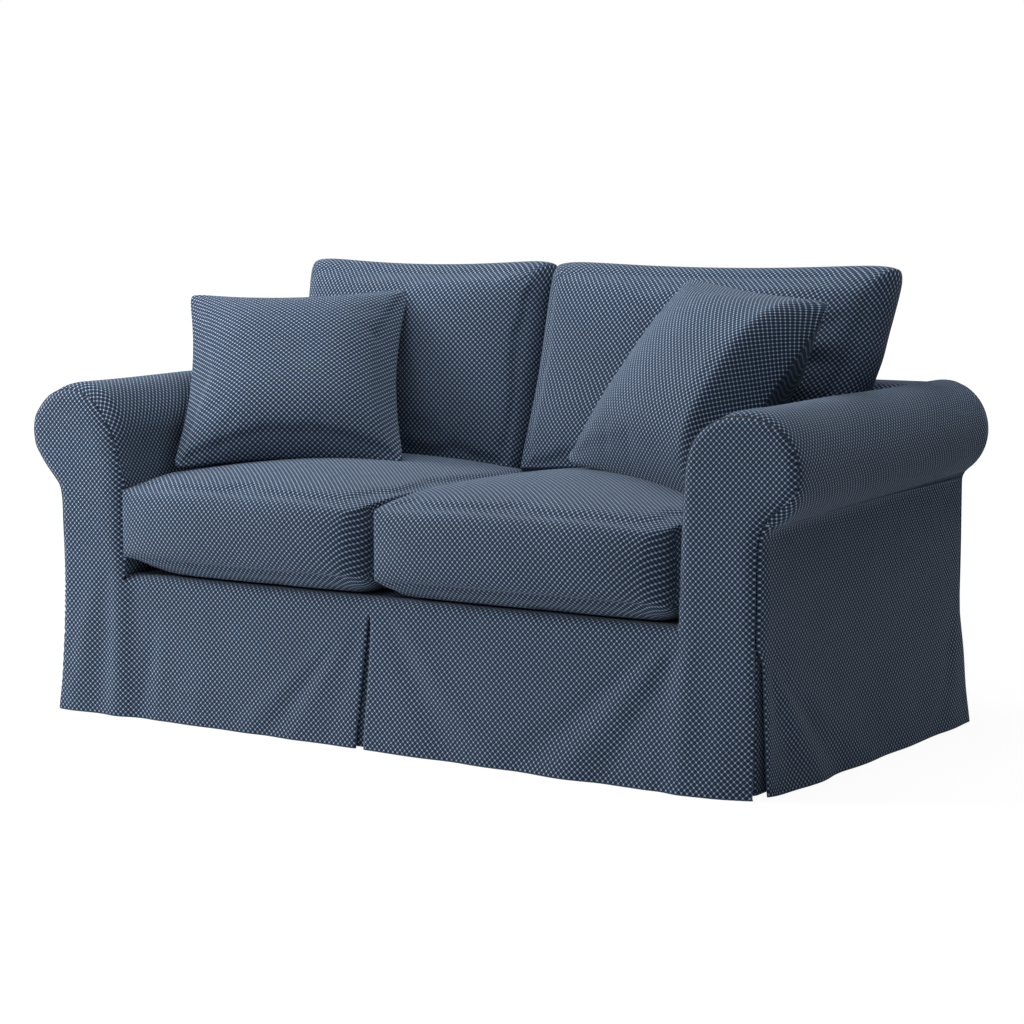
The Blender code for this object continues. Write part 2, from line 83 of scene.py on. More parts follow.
# How far the hem stands out from the wall above it.
HEM_OUT_FRONT = (        # x, out
    (-0.787, 0.008), (-0.620, 0.012), (-0.300, 0.019), (0.000, 0.028), (0.170, 0.034),
    (0.430, 0.040), (0.600, 0.040), (0.710, 0.033), (0.787, 0.008))
HEM_OUT_SIDE = (         # behind_front, out
    (0.000, 0.009), (0.078, 0.020), (0.308, 0.026), (0.568, 0.029), (0.728, 0.031),
    (0.856, 0.029))
HEM_OUT_BACK = (         # x, out
    (-0.787, 0.024), (-0.400, 0.032), (0.000, 0.034), (0.400, 0.032), (0.787, 0.024))

# Soft folds that fan out towards the hem: ridges stand out, troughs have a negative out.
FRONT_FOLDS = (          # x_top, z_top, x_foot, half_top, half_foot, out
    (0.640, 0.300, 0.405, 0.018, 0.052, 0.0137),
    (0.612, 0.275, 0.300, 0.018, 0.055, -0.0097),
    (0.660, 0.290, 0.590, 0.016, 0.030, 0.0065),
    (0.655, 0.300, 0.490, 0.014, 0.030, -0.0065),
    (0.690, 0.260, 0.690, 0.020, 0.030, -0.0046),
    (-0.010, 0.268, 0.165, 0.014, 0.042, -0.0091),
    (0.020, 0.262, 0.270, 0.014, 0.045, 0.0052),
    (-0.060, 0.262, -0.205, 0.012, 0.030, 0.0065),
    (-0.055, 0.262, -0.330, 0.014, 0.040, 0.0065),
    (-0.050, 0.268, -0.270, 0.012, 0.030, -0.0065),
    (-0.050, 0.262, -0.120, 0.010, 0.026, -0.0039),
    (-0.668, 0.320, -0.690, 0.018, 0.032, -0.0117),
    (-0.705, 0.290, -0.760, 0.016, 0.028, 0.0065),
    (-0.640, 0.280, -0.620, 0.018, 0.032, 0.0078),
    (-0.552, 0.220, -0.590, 0.012, 0.022, -0.0052),
    (-0.535, 0.220, -0.540, 0.014, 0.024, 0.0046),
    (-0.420, 0.180, -0.450, 0.030, 0.045, 0.0039))
SIDE_FOLDS = (           # behind_front_top, z_top, behind_front_foot, half_top, half_foot, out
    (0.012, 0.280, 0.100, 0.014, 0.036, -0.0065),
    (0.004, 0.275, 0.195, 0.014, 0.040, 0.0085),
    (0.010, 0.262, 0.275, 0.016, 0.042, -0.0060),
    (0.060, 0.240, 0.390, 0.020, 0.050, 0.0035),
    (0.300, 0.230, 0.460, 0.030, 0.060, -0.0025),
    (0.600, 0.240, 0.560, 0.030, 0.060, 0.0035),
    (0.840, 0.262, 0.760, 0.014, 0.050, 0.0055),
    (0.845, 0.262, 0.690, 0.014, 0.045, -0.0040))
BACK_FOLDS = (           # x_top, z_top, x_foot, half_top, half_foot, out
    (-0.770, 0.262, -0.640, 0.014, 0.060, 0.0050),
    (-0.350, 0.220, -0.300, 0.030, 0.080, 0.0035),
    (0.080, 0.240, 0.020, 0.030, 0.080, -0.0030),
    (0.360, 0.220, 0.420, 0.030, 0.070, 0.0035),
    (0.770, 0.262, 0.650, 0.014, 0.060, 0.0050))

# Arm fronts and the piping round them.
ARM_FRONT = {            # outline of each arm front as (x, z) rows: up the seat side, over, down
    "left": (
        (0.6320, 0.262), (0.6300, 0.300), (0.6295, 0.400), (0.6342, 0.458), (0.6412, 0.493),
        (0.6508, 0.529), (0.6605, 0.560), (0.6755, 0.5875), (0.6957, 0.6135), (0.7161, 0.631),
        (0.7370, 0.6430), (0.7560, 0.6482), (0.7740, 0.6492), (0.7900, 0.6472), (0.8090, 0.6404),
        (0.8310, 0.6255), (0.8476, 0.6070), (0.8574, 0.5900), (0.8610, 0.5695), (0.8600, 0.5533),
        (0.8550, 0.533), (0.8420, 0.5135), (0.8263, 0.494), (0.8080, 0.4747), (0.7925, 0.4553),
        (0.7864, 0.4253), (0.7855, 0.385), (0.7845, 0.344), (0.7840, 0.262), (0.7862, 0.130),
        (0.7960, 0.001)),
    "right": (
        (0.6320, 0.262), (0.6270, 0.300), (0.6265, 0.387), (0.6275, 0.431), (0.6290, 0.457),
        (0.6310, 0.492), (0.6335, 0.518), (0.6353, 0.5354), (0.6385, 0.5615), (0.6425, 0.579),
        (0.6490, 0.600), (0.6620, 0.6205), (0.6812, 0.6385), (0.7024, 0.650), (0.7254, 0.6565),
        (0.7480, 0.6585), (0.7660, 0.6570), (0.7890, 0.6515), (0.8111, 0.6418), (0.8300, 0.6275),
        (0.8450, 0.6063), (0.8531, 0.5814), (0.8556, 0.5600), (0.8530, 0.5420), (0.8440, 0.5260),
        (0.8290, 0.5120), (0.8110, 0.4985), (0.7940, 0.4820), (0.7830, 0.4620), (0.7775, 0.4352),
        (0.7765, 0.3865), (0.7775, 0.262), (0.7840, 0.001))}
EDGE_WIDE = {            # share of the way round an arm front: width of its padded edge
    "left": ((0.00, 0.001), (0.05, 0.030), (0.30, 0.034), (0.42, 0.022), (0.55, 0.014),
             (0.70, 0.014), (0.86, 0.014), (1.00, 0.010)),
    "right": ((0.00, 0.001), (0.05, 0.013), (0.30, 0.013), (0.42, 0.014), (0.55, 0.024),
              (0.70, 0.026), (0.86, 0.018), (1.00, 0.010))}
EDGE_DEEP = {            # and its depth
    "left": ((0.00, 0.000), (0.05, 0.011), (0.30, 0.012), (0.42, 0.010), (0.55, 0.008),
             (0.70, 0.008), (0.86, 0.007), (1.00, 0.003)),
    "right": ((0.00, 0.000), (0.05, 0.009), (0.30, 0.009), (0.42, 0.010), (0.55, 0.013),
              (0.70, 0.013), (0.86, 0.009), (1.00, 0.003))}
PIPING_END = {           # first and last share of the way round
    "left": (0.30, 0.80), "right": (0.02, 0.55)}
PIPING_THICK = {         # share of the way round, radius
    "left": ((0.30, 0.0005), (0.38, 0.0015), (0.45, 0.0018), (0.76, 0.0017), (0.80, 0.0005)),
    "right": ((0.02, 0.0008), (0.06, 0.0018), (0.30, 0.0020), (0.44, 0.0017), (0.52, 0.0008),
              (0.55, 0.0004))}

# Unevenness of the hung cloth.
UNREST = {               # greatest height, and the seed of its waves
    "front": (0.004, 5), "arm": (0.0022, 11), "side": (0.005, 23), "inside": (0.0030, 31),
    "back": (0.006, 41), "deck": (0.004, 47)}
LOOSE = {                # height at which it has faded, and the share that stays above
    "front": (0.30, 0.15), "side": (0.34, 0.12), "back": (0.5, 0.2)}

# Edges and seams.
ARM_REAR, SIDE_REAR = 0.0035, 0.0038             # gap behind the arm's and its outside's cloth
SIDE_START = 0.0005                              # and before the outside arm's
SLIT_EDGE = (0.008, 0.003)                       # width and depth of the rounding along a slit
SIDE_EDGE = (0.014, 0.004)                       # the same at the rear of an outside arm
BACK_SIDE_EDGE = (0.016, 0.004)                  # and round the outside of the back
SHOULDER_TUCK, TUCK_LENGTH = 0.0022, 0.005       # depth and length of the tuck at an arm's front
PIPING_AHEAD = 0.0010                            # how far the piping lies before the arm's edge
PIPING_ROUND = 0.002                             # its flat cloth per radian (m)
BACK_SPLIT_Z = 0.64                              # above this the back's rows climb to its outline

# Slits and pleats.
SIDE_SLIT = (0.012, 0.008, 0.03)                 # gap at a slit's head, more at its foot, its fade
PLEAT_IN = 0.014                                 # how far behind its slit a pleat hangs
PLEAT_FOOT_Z = 0.003                             # height of a pleat's lower edge
CENTRE_PLEAT_X = (-0.125, 0.040)                 # left and right edge of the middle pleat
PLEAT_WING, PLEAT_TURN = 0.070, 0.012            # width of a corner pleat's wings, and its rounding
SLIT_HEAD_X, SLIT_FOOT_X = -0.036, -0.043        # middle of the front's slit, from head to foot
SLIT_HALF = 0.0085                               # half its width at the foot

# Cushions.
SEAT_FRONT_Y = FRONT_Y - 0.0125
SEAT_REAR_Y = BACK_FOOT_Y - 0.0095
SEAT_CUSHIONS = (        # name, x_left, x_right, how square its lower left corner is
    ("seat_cushion_left", -0.6290, -0.0225, 4.0),
    ("seat_cushion_right", -0.0180, 0.6290, 14.0))
SEAT_UNDER_Z, SEAT_OVER_Z = 0.3213, 0.4530
BACK_FOOT = (FRONT_Y + 0.6025, 0.4875)
BACK_HEAD = (FRONT_Y + 0.6975, 0.8985)
BACK_CUSHIONS = (        # name, forward, rear crown, ears, power, edges
    ("back_cushion_left", 0.0000, 0.0270, 0.016, 2.3, (      # up, x_left, x_right
        (0.00, -0.6270, -0.0620), (0.25, -0.6290, -0.0550), (0.42, -0.6540, -0.0520),
        (0.52, -0.6640, -0.0510), (0.80, -0.6680, -0.0500), (1.00, -0.6740, -0.0440))),
    ("back_cushion_right", 0.0100, 0.0367, 0.014, 3.2, (
        (0.00, -0.0600, 0.6270), (0.25, -0.0540, 0.6290), (0.42, -0.0500, 0.6800),
        (0.52, -0.0490, 0.6980), (0.70, -0.0480, 0.7120), (1.00, -0.0460, 0.7330))))
PILLOWS = (              # name, middle, (lean, turn, roll) degrees, side, draw, crowns, crest, power
    ("pillow_left", (-0.4706, -0.0753, 0.6660), (46.9, 29.3, 2.2), 0.4718, 0.0239, (0.082, 0.058),
     ((0.05, 0.0), (0.05, 0.0)), (3.2, 3.2)),
    ("pillow_right", (0.4400, -0.0310, 0.6793), (52.6, -21.0, -5.9), 0.4510, 0.0100, (0.105, 0.130),
     ((0.78, 0.0), (0.27, 0.20)), (3.8, 2.0)))

ENDS = ((-1.0, 0), (1.0, -1))                    # each end of a grid's parameter, and its row

# Shape of the seat cushions.
SEAT_LIFT, SEAT_CROWN = 0.022, 0.034             # rise of the top's edges, and of its middle over them
SEAT_SAG, SEAT_SWELL = 0.011, 0.0215             # sag of the lower edges, and of the underside behind
SEAT_TURN = 0.016                                # how soon behind the front the underside swells
SEAT_BELLY, SEAT_SOFT = 0.030, 0.013             # bulge of the front, and softening of the edges
SEAT_END = (0.003, 0.055)                        # rounding of the front's left and right ends
SEAT_TUCK = 0.027                                # how far the right end draws in at the front
SQUARE = 14.0                                    # power that leaves a corner nearly square

# Shape of the back cushions.
BACK_HALF, BACK_CROWN = 0.050, 0.050             # half thickness at the edges, crown of the front
BACK_EDGE = 0.055                                # depth of the half round edges
BACK_CORNERS = (0.004, 0.012)                    # rounding of the lower and upper corners
BACK_SAG = (0.012, 0.014)                        # sag of the lower edge: its middle, its corners more

# Shape of the throw pillows.
SEAM_HALF = 0.003                                # half thickness at the seam
PILLOW_CORNER = 0.010                            # rounding of the corners
PILLOW_TALL = (3.4, 2.8, 0.85)                   # fullness below and above the middle, and its power

# Filling of the cushions.
FILL_START = 0.004                               # how much smaller a cushion starts
FILL_REACH = 0.005                               # how far the filling moves its cloth at most
FILL_FRAMES = 20                                 # length of the simulation

# Creases on the cushions' front faces, over (a, b) from -1 to 1; troughs have a negative out.
CREASES = {              # from a, from b, to a, to b, half, out
    "back_cushion_left": (
        (-0.62, 0.92, -0.30, 0.55, 0.060, -0.0030), (0.55, 0.88, 0.86, 0.45, 0.060, 0.0030),
        (0.60, 0.60, 0.90, 0.20, 0.050, -0.0030), (0.20, -0.70, 0.62, -0.90, 0.070, -0.0030)),
    "back_cushion_right": (
        (-0.45, 0.90, -0.16, 0.62, 0.050, -0.0030), (-0.30, 0.92, -0.02, 0.66, 0.045, 0.0025),
        (0.66, 0.06, 0.97, 0.00, 0.050, -0.0100), (0.66, -0.16, 0.97, -0.22, 0.055, 0.0090),
        (0.70, 0.34, 0.97, 0.50, 0.055, -0.0090), (0.72, 0.16, 0.98, 0.22, 0.050, 0.0090)),
    "pillow_left": (
        (0.66, 0.34, 0.88, 0.24, 0.035, -0.0040), (0.60, 0.52, 0.92, 0.66, 0.050, -0.0025),
        (-0.90, -0.62, -0.60, -0.52, 0.050, -0.0035), (-0.50, -0.72, -0.62, -0.96, 0.045, -0.0030),
        (0.30, -0.74, 0.36, -0.97, 0.050, -0.0030)),
    "pillow_right": (
        (-0.40, 0.86, 0.30, 0.80, 0.050, -0.0045), (-0.30, -0.70, -0.36, -0.97, 0.045, -0.0040),
        (0.05, -0.72, 0.02, -0.97, 0.045, -0.0035), (-0.62, -0.60, -0.80, -0.86, 0.040, -0.0030))}

# Woven cloth.
LINE_FADE, DOT_FADE = (0.05, 0.13), (0.13, 0.25)   # half width and edge of a line and a dot, in repeats
THREAD_REPEAT = 0.00085                        # of the plain weave under the pattern (m)
DYE_NOISE, SLUB_NOISE = (9.0, 5.0), (420.0, 2.0)   # scale and detail
SHEEN = 0.14                                   # share of the soft sheen

# Stage.
CAMERA_PLACE = (2.8350, -4.4135, 1.0090)
CAMERA_YAW, CAMERA_PITCH = 0.569, 0.114        # radians left of straight back, and down
CAMERA_LENS = 2652.0 / 1024.0 * 36.0           # for a square frame and a 36 mm sensor
LAMPS_AIM = (0.0, 0.0, 0.5)                    # point that the near lamps face
NEAR_LAMPS = (           # name, place, side, watts
    ("key light", (-2.4, -1.6, 1.8), 1.2, 92.0),
    ("top light", (-1.0, -0.4, 2.8), 1.5, 42.0),
    ("second top light", (0.8, 0.2, 2.6), 1.5, 29.0))
FAR_LAMPS = (            # name, azimuth from the front, elevation and angular size (degrees), strength
    ("front light", 0.0, 35.0, 50.0, 0.70),
    ("fill light", 40.0, 35.0, 50.0, 0.42),
    ("side light", -60.0, 20.0, 40.0, 0.24))
FLOOR_GLOW = (0.88, 1.0)                       # near the middle, and far from it
GLOW_REACH = (1.2, 4.0)                        # from and to this far from the middle (m)
GLOW = 1.05                                    # strength of the floor's glow

# ---------------------------------------------------------------- curves and shapes


def smooth(table, at):
    """Smooth curve through a table's (place, value) rows.

    Between two rows it is a cubic whose slope at each row is that of its neighbours.
    """
    places, values = np.array(table, float).T
    at = np.clip(at, places[0], places[-1])
    slopes = np.gradient(values, places)
    row = np.clip(np.searchsorted(places, at, side="right") - 1, 0, len(places) - 2)
    step = places[row + 1] - places[row]
    t = (at - places[row]) / step
    start = values[row] * (1 + 2 * t) * (1 - t) ** 2 + slopes[row] * step * t * (1 - t) ** 2
    end = values[row + 1] * t * t * (3 - 2 * t) + slopes[row + 1] * step * t * t * (t - 1)
    return start + end


def eased(count, ends=1.0):
    """Numbers from 0 to 1, closer together near both ends: t + ends * (cosine ease - t)."""
    t = np.linspace(0.0, 1.0, count)
    return t + ends * (0.5 - 0.5 * np.cos(np.pi * t) - t)


def flare(z):
    """Share of the hem's stand-out at a height: (1 - z / pleat top) ^ 1.15, none above."""
    return np.clip(1.0 - z / PLEAT_Z, 0.0, 1.0) ** 1.15


def folds(table, x, z):
    """Sum of fanned folds: each is out * s * exp(-((x - centre) / half)^2), t from 0 to 1 down.

    s = t^0.8 * (1 - 0.6 t^3): a fold deepens downwards and eases again at the hem.
    """
    total = np.zeros(np.broadcast(x, z).shape)
    for x_top, z_top, x_foot, half_top, half_foot, out in table:
        t = np.clip((z_top - z) / z_top, 0.0, 1.0)
        centre = x_top + (x_foot - x_top) * t
        half = half_top + (half_foot - half_top) * t
        total = total + out * t ** 0.8 * (1.0 - 0.6 * t ** 3) * np.exp(-((x - centre) / half) ** 2)
    return total


def creases(table, a, b):
    """Sum of soft creases: each is out * exp(-(distance to its line / half)^2), eased at its ends."""
    total = np.zeros(np.broadcast(a, b).shape)
    for a_from, b_from, a_to, b_to, half, out in table:
        run = np.array((a_to - a_from, b_to - b_from))
        t = ((a - a_from) * run[0] + (b - b_from) * run[1]) / (run ** 2).sum()
        near = np.clip(t, 0.0, 1.0)
        apart = (a - a_from - near * run[0]) ** 2 + (b - b_from - near * run[1]) ** 2
        total = total + out * np.exp(-apart / half ** 2)
    return total


def loose(part, z):
    """How freely the cloth of a part hangs at a height: 1 - z / its table's height, or its least."""
    height, least = LOOSE[part]
    return np.clip(1.0 - z / height, least, 1.0)


def unrest(part, u, v):
    """Slight unevenness of hung cloth: a few crossing sine waves, 0.12 to 0.35 m long."""
    size, seed = UNREST[part]
    draw = np.random.default_rng(seed)
    total = np.zeros(np.broadcast(u, v).shape)
    for _ in range(7):
        turn, phase = draw.uniform(0.0, math.pi), draw.uniform(0.0, 2.0 * math.pi)
        wave = draw.uniform(0.12, 0.35)
        run = u * math.cos(turn) + v * math.sin(turn)
        total = total + np.sin(2.0 * math.pi * run / wave + phase)
    return size * total / 7.0


def roll_at(y, word="right"):
    """Centre and radius of an arm roll: all three run evenly from front to back."""
    share = np.clip((y - FRONT_Y) / DEPTH, 0.0, 1.0)
    roll_z = ROLL_Z - ARM_DROP[word] * (1.0 - share) + ROLL_RISE * share
    return ROLL_X - ROLL_CLOSER * share, roll_z, ROLL_R - ROLL_TAPER * share


def arm_inner(z, y=FRONT_Y, word="right"):
    """Seat side of an arm at a height: upright, an eased lean outwards, then the roll's circle."""
    roll_x, roll_z, radius = roll_at(y, word)
    share = np.clip((z - LEAN_Z) / (roll_z - LEAN_Z), 0.0, 1.0)
    lean = ARM_INNER_X + (roll_x - radius - ARM_INNER_X) * share * share * (3.0 - 2.0 * share)
    high = np.clip(z - roll_z, 0.0, radius)
    return np.where(z < roll_z, lean, roll_x - np.sqrt(np.clip(radius ** 2 - high ** 2, 0.0, None)))


def neck_at(y=FRONT_Y, word="right"):
    """Centre (x, z) of the hollow under a roll, an arc that touches both the roll and the wall."""
    roll_x, roll_z, radius = roll_at(y, word)
    side = SIDE_X + NECK_R - roll_x
    return SIDE_X + NECK_R, roll_z - np.sqrt((radius + NECK_R) ** 2 - side ** 2)


def arm_outer(z, y=FRONT_Y, word="right"):
    """Outside of an arm at a height: wall, hollow of the neck, then the roll's circle."""
    roll_x, roll_z, radius = roll_at(y, word)
    neck_x, neck_z = neck_at(y, word)
    touch_z = roll_z + (neck_z - roll_z) * radius / (radius + NECK_R)
    hollow = neck_x - np.sqrt(np.clip(NECK_R ** 2 - (z - neck_z) ** 2, 0.0, None))
    circle = roll_x + np.sqrt(np.clip(radius ** 2 - (z - roll_z) ** 2, 0.0, None))
    return np.where(z <= neck_z, SIDE_X, np.where(z < touch_z, hollow, circle))


def seam_angles(y, word):
    """Angles of the hollow under a roll, round its centre: where it leaves the roll, and its seam.

    The seam under the roll lies where the two touch at the front and lower down the hollow behind.
    """
    roll_x, roll_z, _ = roll_at(y, word)
    neck_x, neck_z = neck_at(y, word)
    touch = np.arctan2(roll_z - neck_z, roll_x - neck_x)
    share = np.clip((y - FRONT_Y) / DEPTH - 0.30, 0.0, 1.0)
    return touch, touch + (math.pi - touch) * share


def nearest(points, line):
    """Distance of each (x, z) point to a line of points, and which of its points is nearest."""
    gaps = points[..., None, :] - line
    apart = np.sqrt((gaps ** 2).sum(-1))
    which = apart.argmin(-1)
    return np.take_along_axis(apart, which[..., None], -1)[..., 0], which


def rounded(distance, radius, depth):
    """Depth of a padded edge: a quarter ellipse, radius wide and depth deep."""
    t = np.clip(1.0 - distance / radius, 0.0, 1.0)
    return depth * (1.0 - np.sqrt(np.clip(1.0 - t * t, 0.0, 1.0)))


# ---------------------------------------------------------------- meshes


def along_rows(points):
    """Running length of a grid along its first axis, from the first row."""
    steps = np.linalg.norm(np.diff(points, axis=0), axis=-1)
    return np.concatenate([np.zeros((1,) + steps.shape[1:]), np.cumsum(steps, axis=0)])


def along_columns(points):
    """Running length of a grid along its second axis, from the middle column."""
    run = along_rows(points.swapaxes(0, 1)).T
    return run - run[:, run.shape[1] // 2][:, None]


def build(name, patches, material, thickness=0.0):
    """Mesh object of several grids, welded where they meet, with the flat cloth as its UV map.

    A corner that welding has made the same as the one before it is left out, which closes poles.
    """
    points, flats, faces, start = [], [], [], 0
    for place, flat, flip in patches:
        rows, columns = place.shape[:2]
        index = start + np.arange(rows * columns).reshape(rows, columns)
        quads = np.stack([index[:-1, :-1], index[:-1, 1:], index[1:, 1:], index[1:, :-1]], -1)
        quads = quads.reshape(-1, 4)
        faces.append(quads[:, ::-1] if flip else quads)
        points.append(place.reshape(-1, 3))
        flats.append(flat.reshape(-1, 2))
        start += rows * columns
    points, flats, faces = np.concatenate(points), np.concatenate(flats), np.concatenate(faces)
    _, first, same = np.unique(np.round(points, 6), axis=0, return_index=True, return_inverse=True)
    welded = same.reshape(-1)[faces]
    keep = welded != np.roll(welded, 1, axis=1)
    keep[keep.sum(axis=1) < 3] = False
    sizes = keep.sum(axis=1)
    sizes = sizes[sizes > 0]
    corners = welded[keep]
    mesh = bpy.data.meshes.new(name)
    mesh.vertices.add(len(first))
    mesh.vertices.foreach_set("co", points[first].astype(np.float32).reshape(-1))
    mesh.loops.add(len(corners))
    mesh.loops.foreach_set("vertex_index", corners.astype(np.int32))
    mesh.polygons.add(len(sizes))
    mesh.polygons.foreach_set("loop_start", (np.cumsum(sizes) - sizes).astype(np.int32))
    mesh.update(calc_edges=True)
    cloth = mesh.uv_layers.new(name="cloth")
    cloth.data.foreach_set("uv", flats[faces[keep]].astype(np.float32).reshape(-1))
    mesh.materials.append(material)
    mesh.shade_smooth()
    piece = bpy.data.objects.new(name, mesh)
    bpy.context.scene.collection.objects.link(piece)
    if thickness:
        solid = piece.modifiers.new("Cloth thickness", "SOLIDIFY")
        solid.thickness = thickness
        solid.offset = -1.0
    return piece


def grid_of(x, y, z):
    """Points of a grid from three arrays that broadcast to its rows and columns."""
    return np.stack(np.broadcast_arrays(x, y, z), axis=-1).astype(float)


def flat_of(u, v):
    """Places on the flat cloth from two arrays that broadcast to a grid."""
    return np.stack(np.broadcast_arrays(u, v), axis=-1).astype(float)


# ---------------------------------------------------------------- cloth


def feed(socket, value):
    """Link a node's output to a socket, or set the socket to a plain value."""
    if isinstance(value, bpy.types.NodeSocket):
        socket.id_data.links.new(value, socket)
    else:
        socket.default_value = value


def node(tree, kind, inputs=None, **values):
    """New shader node: `values` set its own properties, `inputs` feed its sockets by name or number."""
    made = tree.nodes.new("ShaderNode" + kind)
    for key, value in values.items():
        setattr(made, key, value)
    for key, value in (inputs or {}).items():
        feed(made.inputs[key], value)
    return made


def paint(name):
    """New material, its node tree and its principled shader."""
    material = bpy.data.materials.new(name)
    material.use_nodes = True
    shader = material.node_tree.nodes["Principled BSDF"]
    return material, material.node_tree, shader


def weave(name, size, ground, thread, dot):
    """Woven cloth: thin diagonal lines cross every `size` metres, with a raised dot at each crossing.

    The lines are where (u + v) / size or (u - v) / size is whole; a dot is where both are.
    A fine plain weave and a slow unevenness of dye lie over it, and the dots stand proud.
    """
    material, tree, shader = paint(name)

    def maths(kind, *values):
        """Result of one sum on numbers or node outputs."""
        return node(tree, "Math", dict(enumerate(values)), operation=kind).outputs[0]

    def fade(value, full, none):
        """Eased share: 1 up to `full`, 0 from `none` on."""
        inputs = dict(enumerate((value, full, none, 1.0, 0.0)))
        return node(tree, "MapRange", inputs, interpolation_type="SMOOTHSTEP").outputs[0]

    def blend(share, under, over):
        """Colour between two, the more of `over` the greater the share."""
        inputs = {"Factor": share, "A": under, "B": over}
        return node(tree, "Mix", inputs, data_type="RGBA").outputs["Result"]

    def noise(scale, detail):
        """Slow unevenness in the object's own coordinates."""
        place = node(tree, "TexCoord").outputs["Object"]
        return node(tree, "TexNoise", {"Vector": place, "Scale": scale, "Detail": detail}).outputs["Fac"]

    flat = node(tree, "UVMap", uv_map="cloth").outputs[0]
    u, v = node(tree, "SeparateXYZ", {0: flat}).outputs[:2]
    rising = maths("PINGPONG", maths("DIVIDE", maths("ADD", u, v), size), 0.5)
    falling = maths("PINGPONG", maths("DIVIDE", maths("SUBTRACT", u, v), size), 0.5)
    lines = maths("MAXIMUM", fade(rising, *LINE_FADE), fade(falling, *LINE_FADE))
    across = maths("SQRT", maths("ADD", maths("POWER", rising, 2.0), maths("POWER", falling, 2.0)))
    dots = fade(across, *DOT_FADE)
    warp = maths("SINE", maths("MULTIPLY", u, 2.0 * math.pi / THREAD_REPEAT))
    weft = maths("SINE", maths("MULTIPLY", v, 2.0 * math.pi / THREAD_REPEAT))
    threads = maths("MULTIPLY", warp, weft)
    dye, slub = noise(*DYE_NOISE), noise(*SLUB_NOISE)

    colour = blend(lines, (*ground, 1.0), (*thread, 1.0))
    colour = blend(dots, colour, (*dot, 1.0))
    shade = maths("ADD", maths("MULTIPLY", threads, 0.10), 1.0)
    shade = maths("MULTIPLY", shade, maths("ADD", maths("MULTIPLY", dye, 0.22), 0.89))
    shade = maths("MULTIPLY", shade, maths("ADD", maths("MULTIPLY", slub, 0.30), 0.85))
    tone = node(tree, "VectorMath", {0: colour, "Scale": shade}, operation="SCALE")
    feed(shader.inputs["Base Color"], tone.outputs[0])
    feed(shader.inputs["Roughness"], maths("SUBTRACT", 0.92, maths("MULTIPLY", dots, 0.14)))

    relief = maths("ADD", maths("MULTIPLY", lines, 0.35), maths("MULTIPLY", dots, 0.65))
    relief = maths("ADD", relief, maths("MULTIPLY", threads, 0.10))
    relief = maths("ADD", relief, maths("MULTIPLY", slub, 0.25))
    bump = node(tree, "Bump", {"Strength": 0.6, "Distance": 0.0006, "Height": relief})
    feed(shader.inputs["Normal"], bump.outputs[0])

    shader.inputs["Specular IOR Level"].default_value = 0.15
    shader.inputs["Sheen Weight"].default_value = SHEEN
    shader.inputs["Sheen Roughness"].default_value = 0.45
    shader.inputs["Sheen Tint"].default_value = (0.60, 0.74, 0.95, 1.0)
    return material


def two_tones(tree, share, colour, darker):
    """Colour that goes from a darker tone to the full one as `share` goes from 0 to 1."""
    ramp = node(tree, "ValToRGB", {0: share})
    ramp.color_ramp.elements[0].color = (*[darker * part for part in colour], 1.0)
    ramp.color_ramp.elements[1].color = (*colour, 1.0)
    return ramp.outputs[0]


def cord_cloth_with_painted_shade(name, colour):
    """Cloth over a thin cord, darker than the cover: partly its own navy, partly painted shade of the
    seam's crease. A fine slanting twill with a little unevenness.
    """
    material, tree, shader = paint(name)
    flat = node(tree, "UVMap", uv_map="cloth").outputs[0]
    twill = node(tree, "TexWave", {"Scale": 260.0, "Distortion": 0.6, "Vector": flat},
                 bands_direction="DIAGONAL").outputs["Fac"]
    feed(shader.inputs["Base Color"], two_tones(tree, twill, colour, 0.6))
    bump = node(tree, "Bump", {"Strength": 0.4, "Distance": 0.0003, "Height": twill})
    feed(shader.inputs["Normal"], bump.outputs[0])
    shader.inputs["Roughness"].default_value = 0.9
    return material


# ---------------------------------------------------------------- the cover


def arm_outline(word):
    """Outline of an arm front as a smooth curve of (x, z) points, and its highest point's place."""
    rows = np.array(ARM_FRONT[word])
    at = np.arange(len(rows), dtype=float)
    fine = np.linspace(0.0, at[-1], 12 * len(rows))
    line = np.stack([smooth(np.stack([at, rows[:, axis]], -1), fine) for axis in (0, 1)], -1)
    return line, int(line[:, 1].argmax())


def arm_span(word, z):
    """Seat-side and outer x of an arm front at a height, read off its outline."""
    line, top = arm_outline(word)
    inner, outer = line[:top + 1], line[top:][::-1]
    seat_side = np.interp(z, inner[:, 1], inner[:, 0])
    seat_side = np.where(z <= RAIL_Z, ARM_INNER_X, seat_side)
    return seat_side, np.interp(z, outer[:, 1], outer[:, 0])


def arm_levels(word):
    """Heights of the rows of an arm front above the rail, closer together up its roll."""
    line, top = arm_outline(word)
    head = line[top, 1]
    turns = np.radians(np.concatenate([np.linspace(-35.0, 40.0, 31), np.linspace(42.0, 90.0, 36)]))
    over = head - 0.105 + 0.105 * np.sin(turns)
    return np.concatenate([np.linspace(RAIL_Z, over[0], 46)[:-1], over])


def edge_share(line):
    """Share of the way round at each point of an outline, by its running length."""
    run = along_rows(line)
    return run / run[-1]


def front_out(x, z):
    """How far the front stands out: padded arms, the hem's flare, fanned folds, slight unrest."""
    arm = np.clip((np.abs(x) - ARM_INNER_X + PROUD_IN) / PROUD_WIDE, 0.0, 1.0)
    proud = ARM_PROUD * arm * arm * (3.0 - 2.0 * arm)
    out = proud + smooth(HEM_OUT_FRONT, x) * flare(z) + folds(FRONT_FOLDS, x, z)
    return out + unrest("front", x, z) * loose("front", z)


def front_grid(x, z):
    """Points of the front over (x, z): y is its face less how far the cloth stands out there."""
    return grid_of(x, FRONT_Y - front_out(x, z), z)


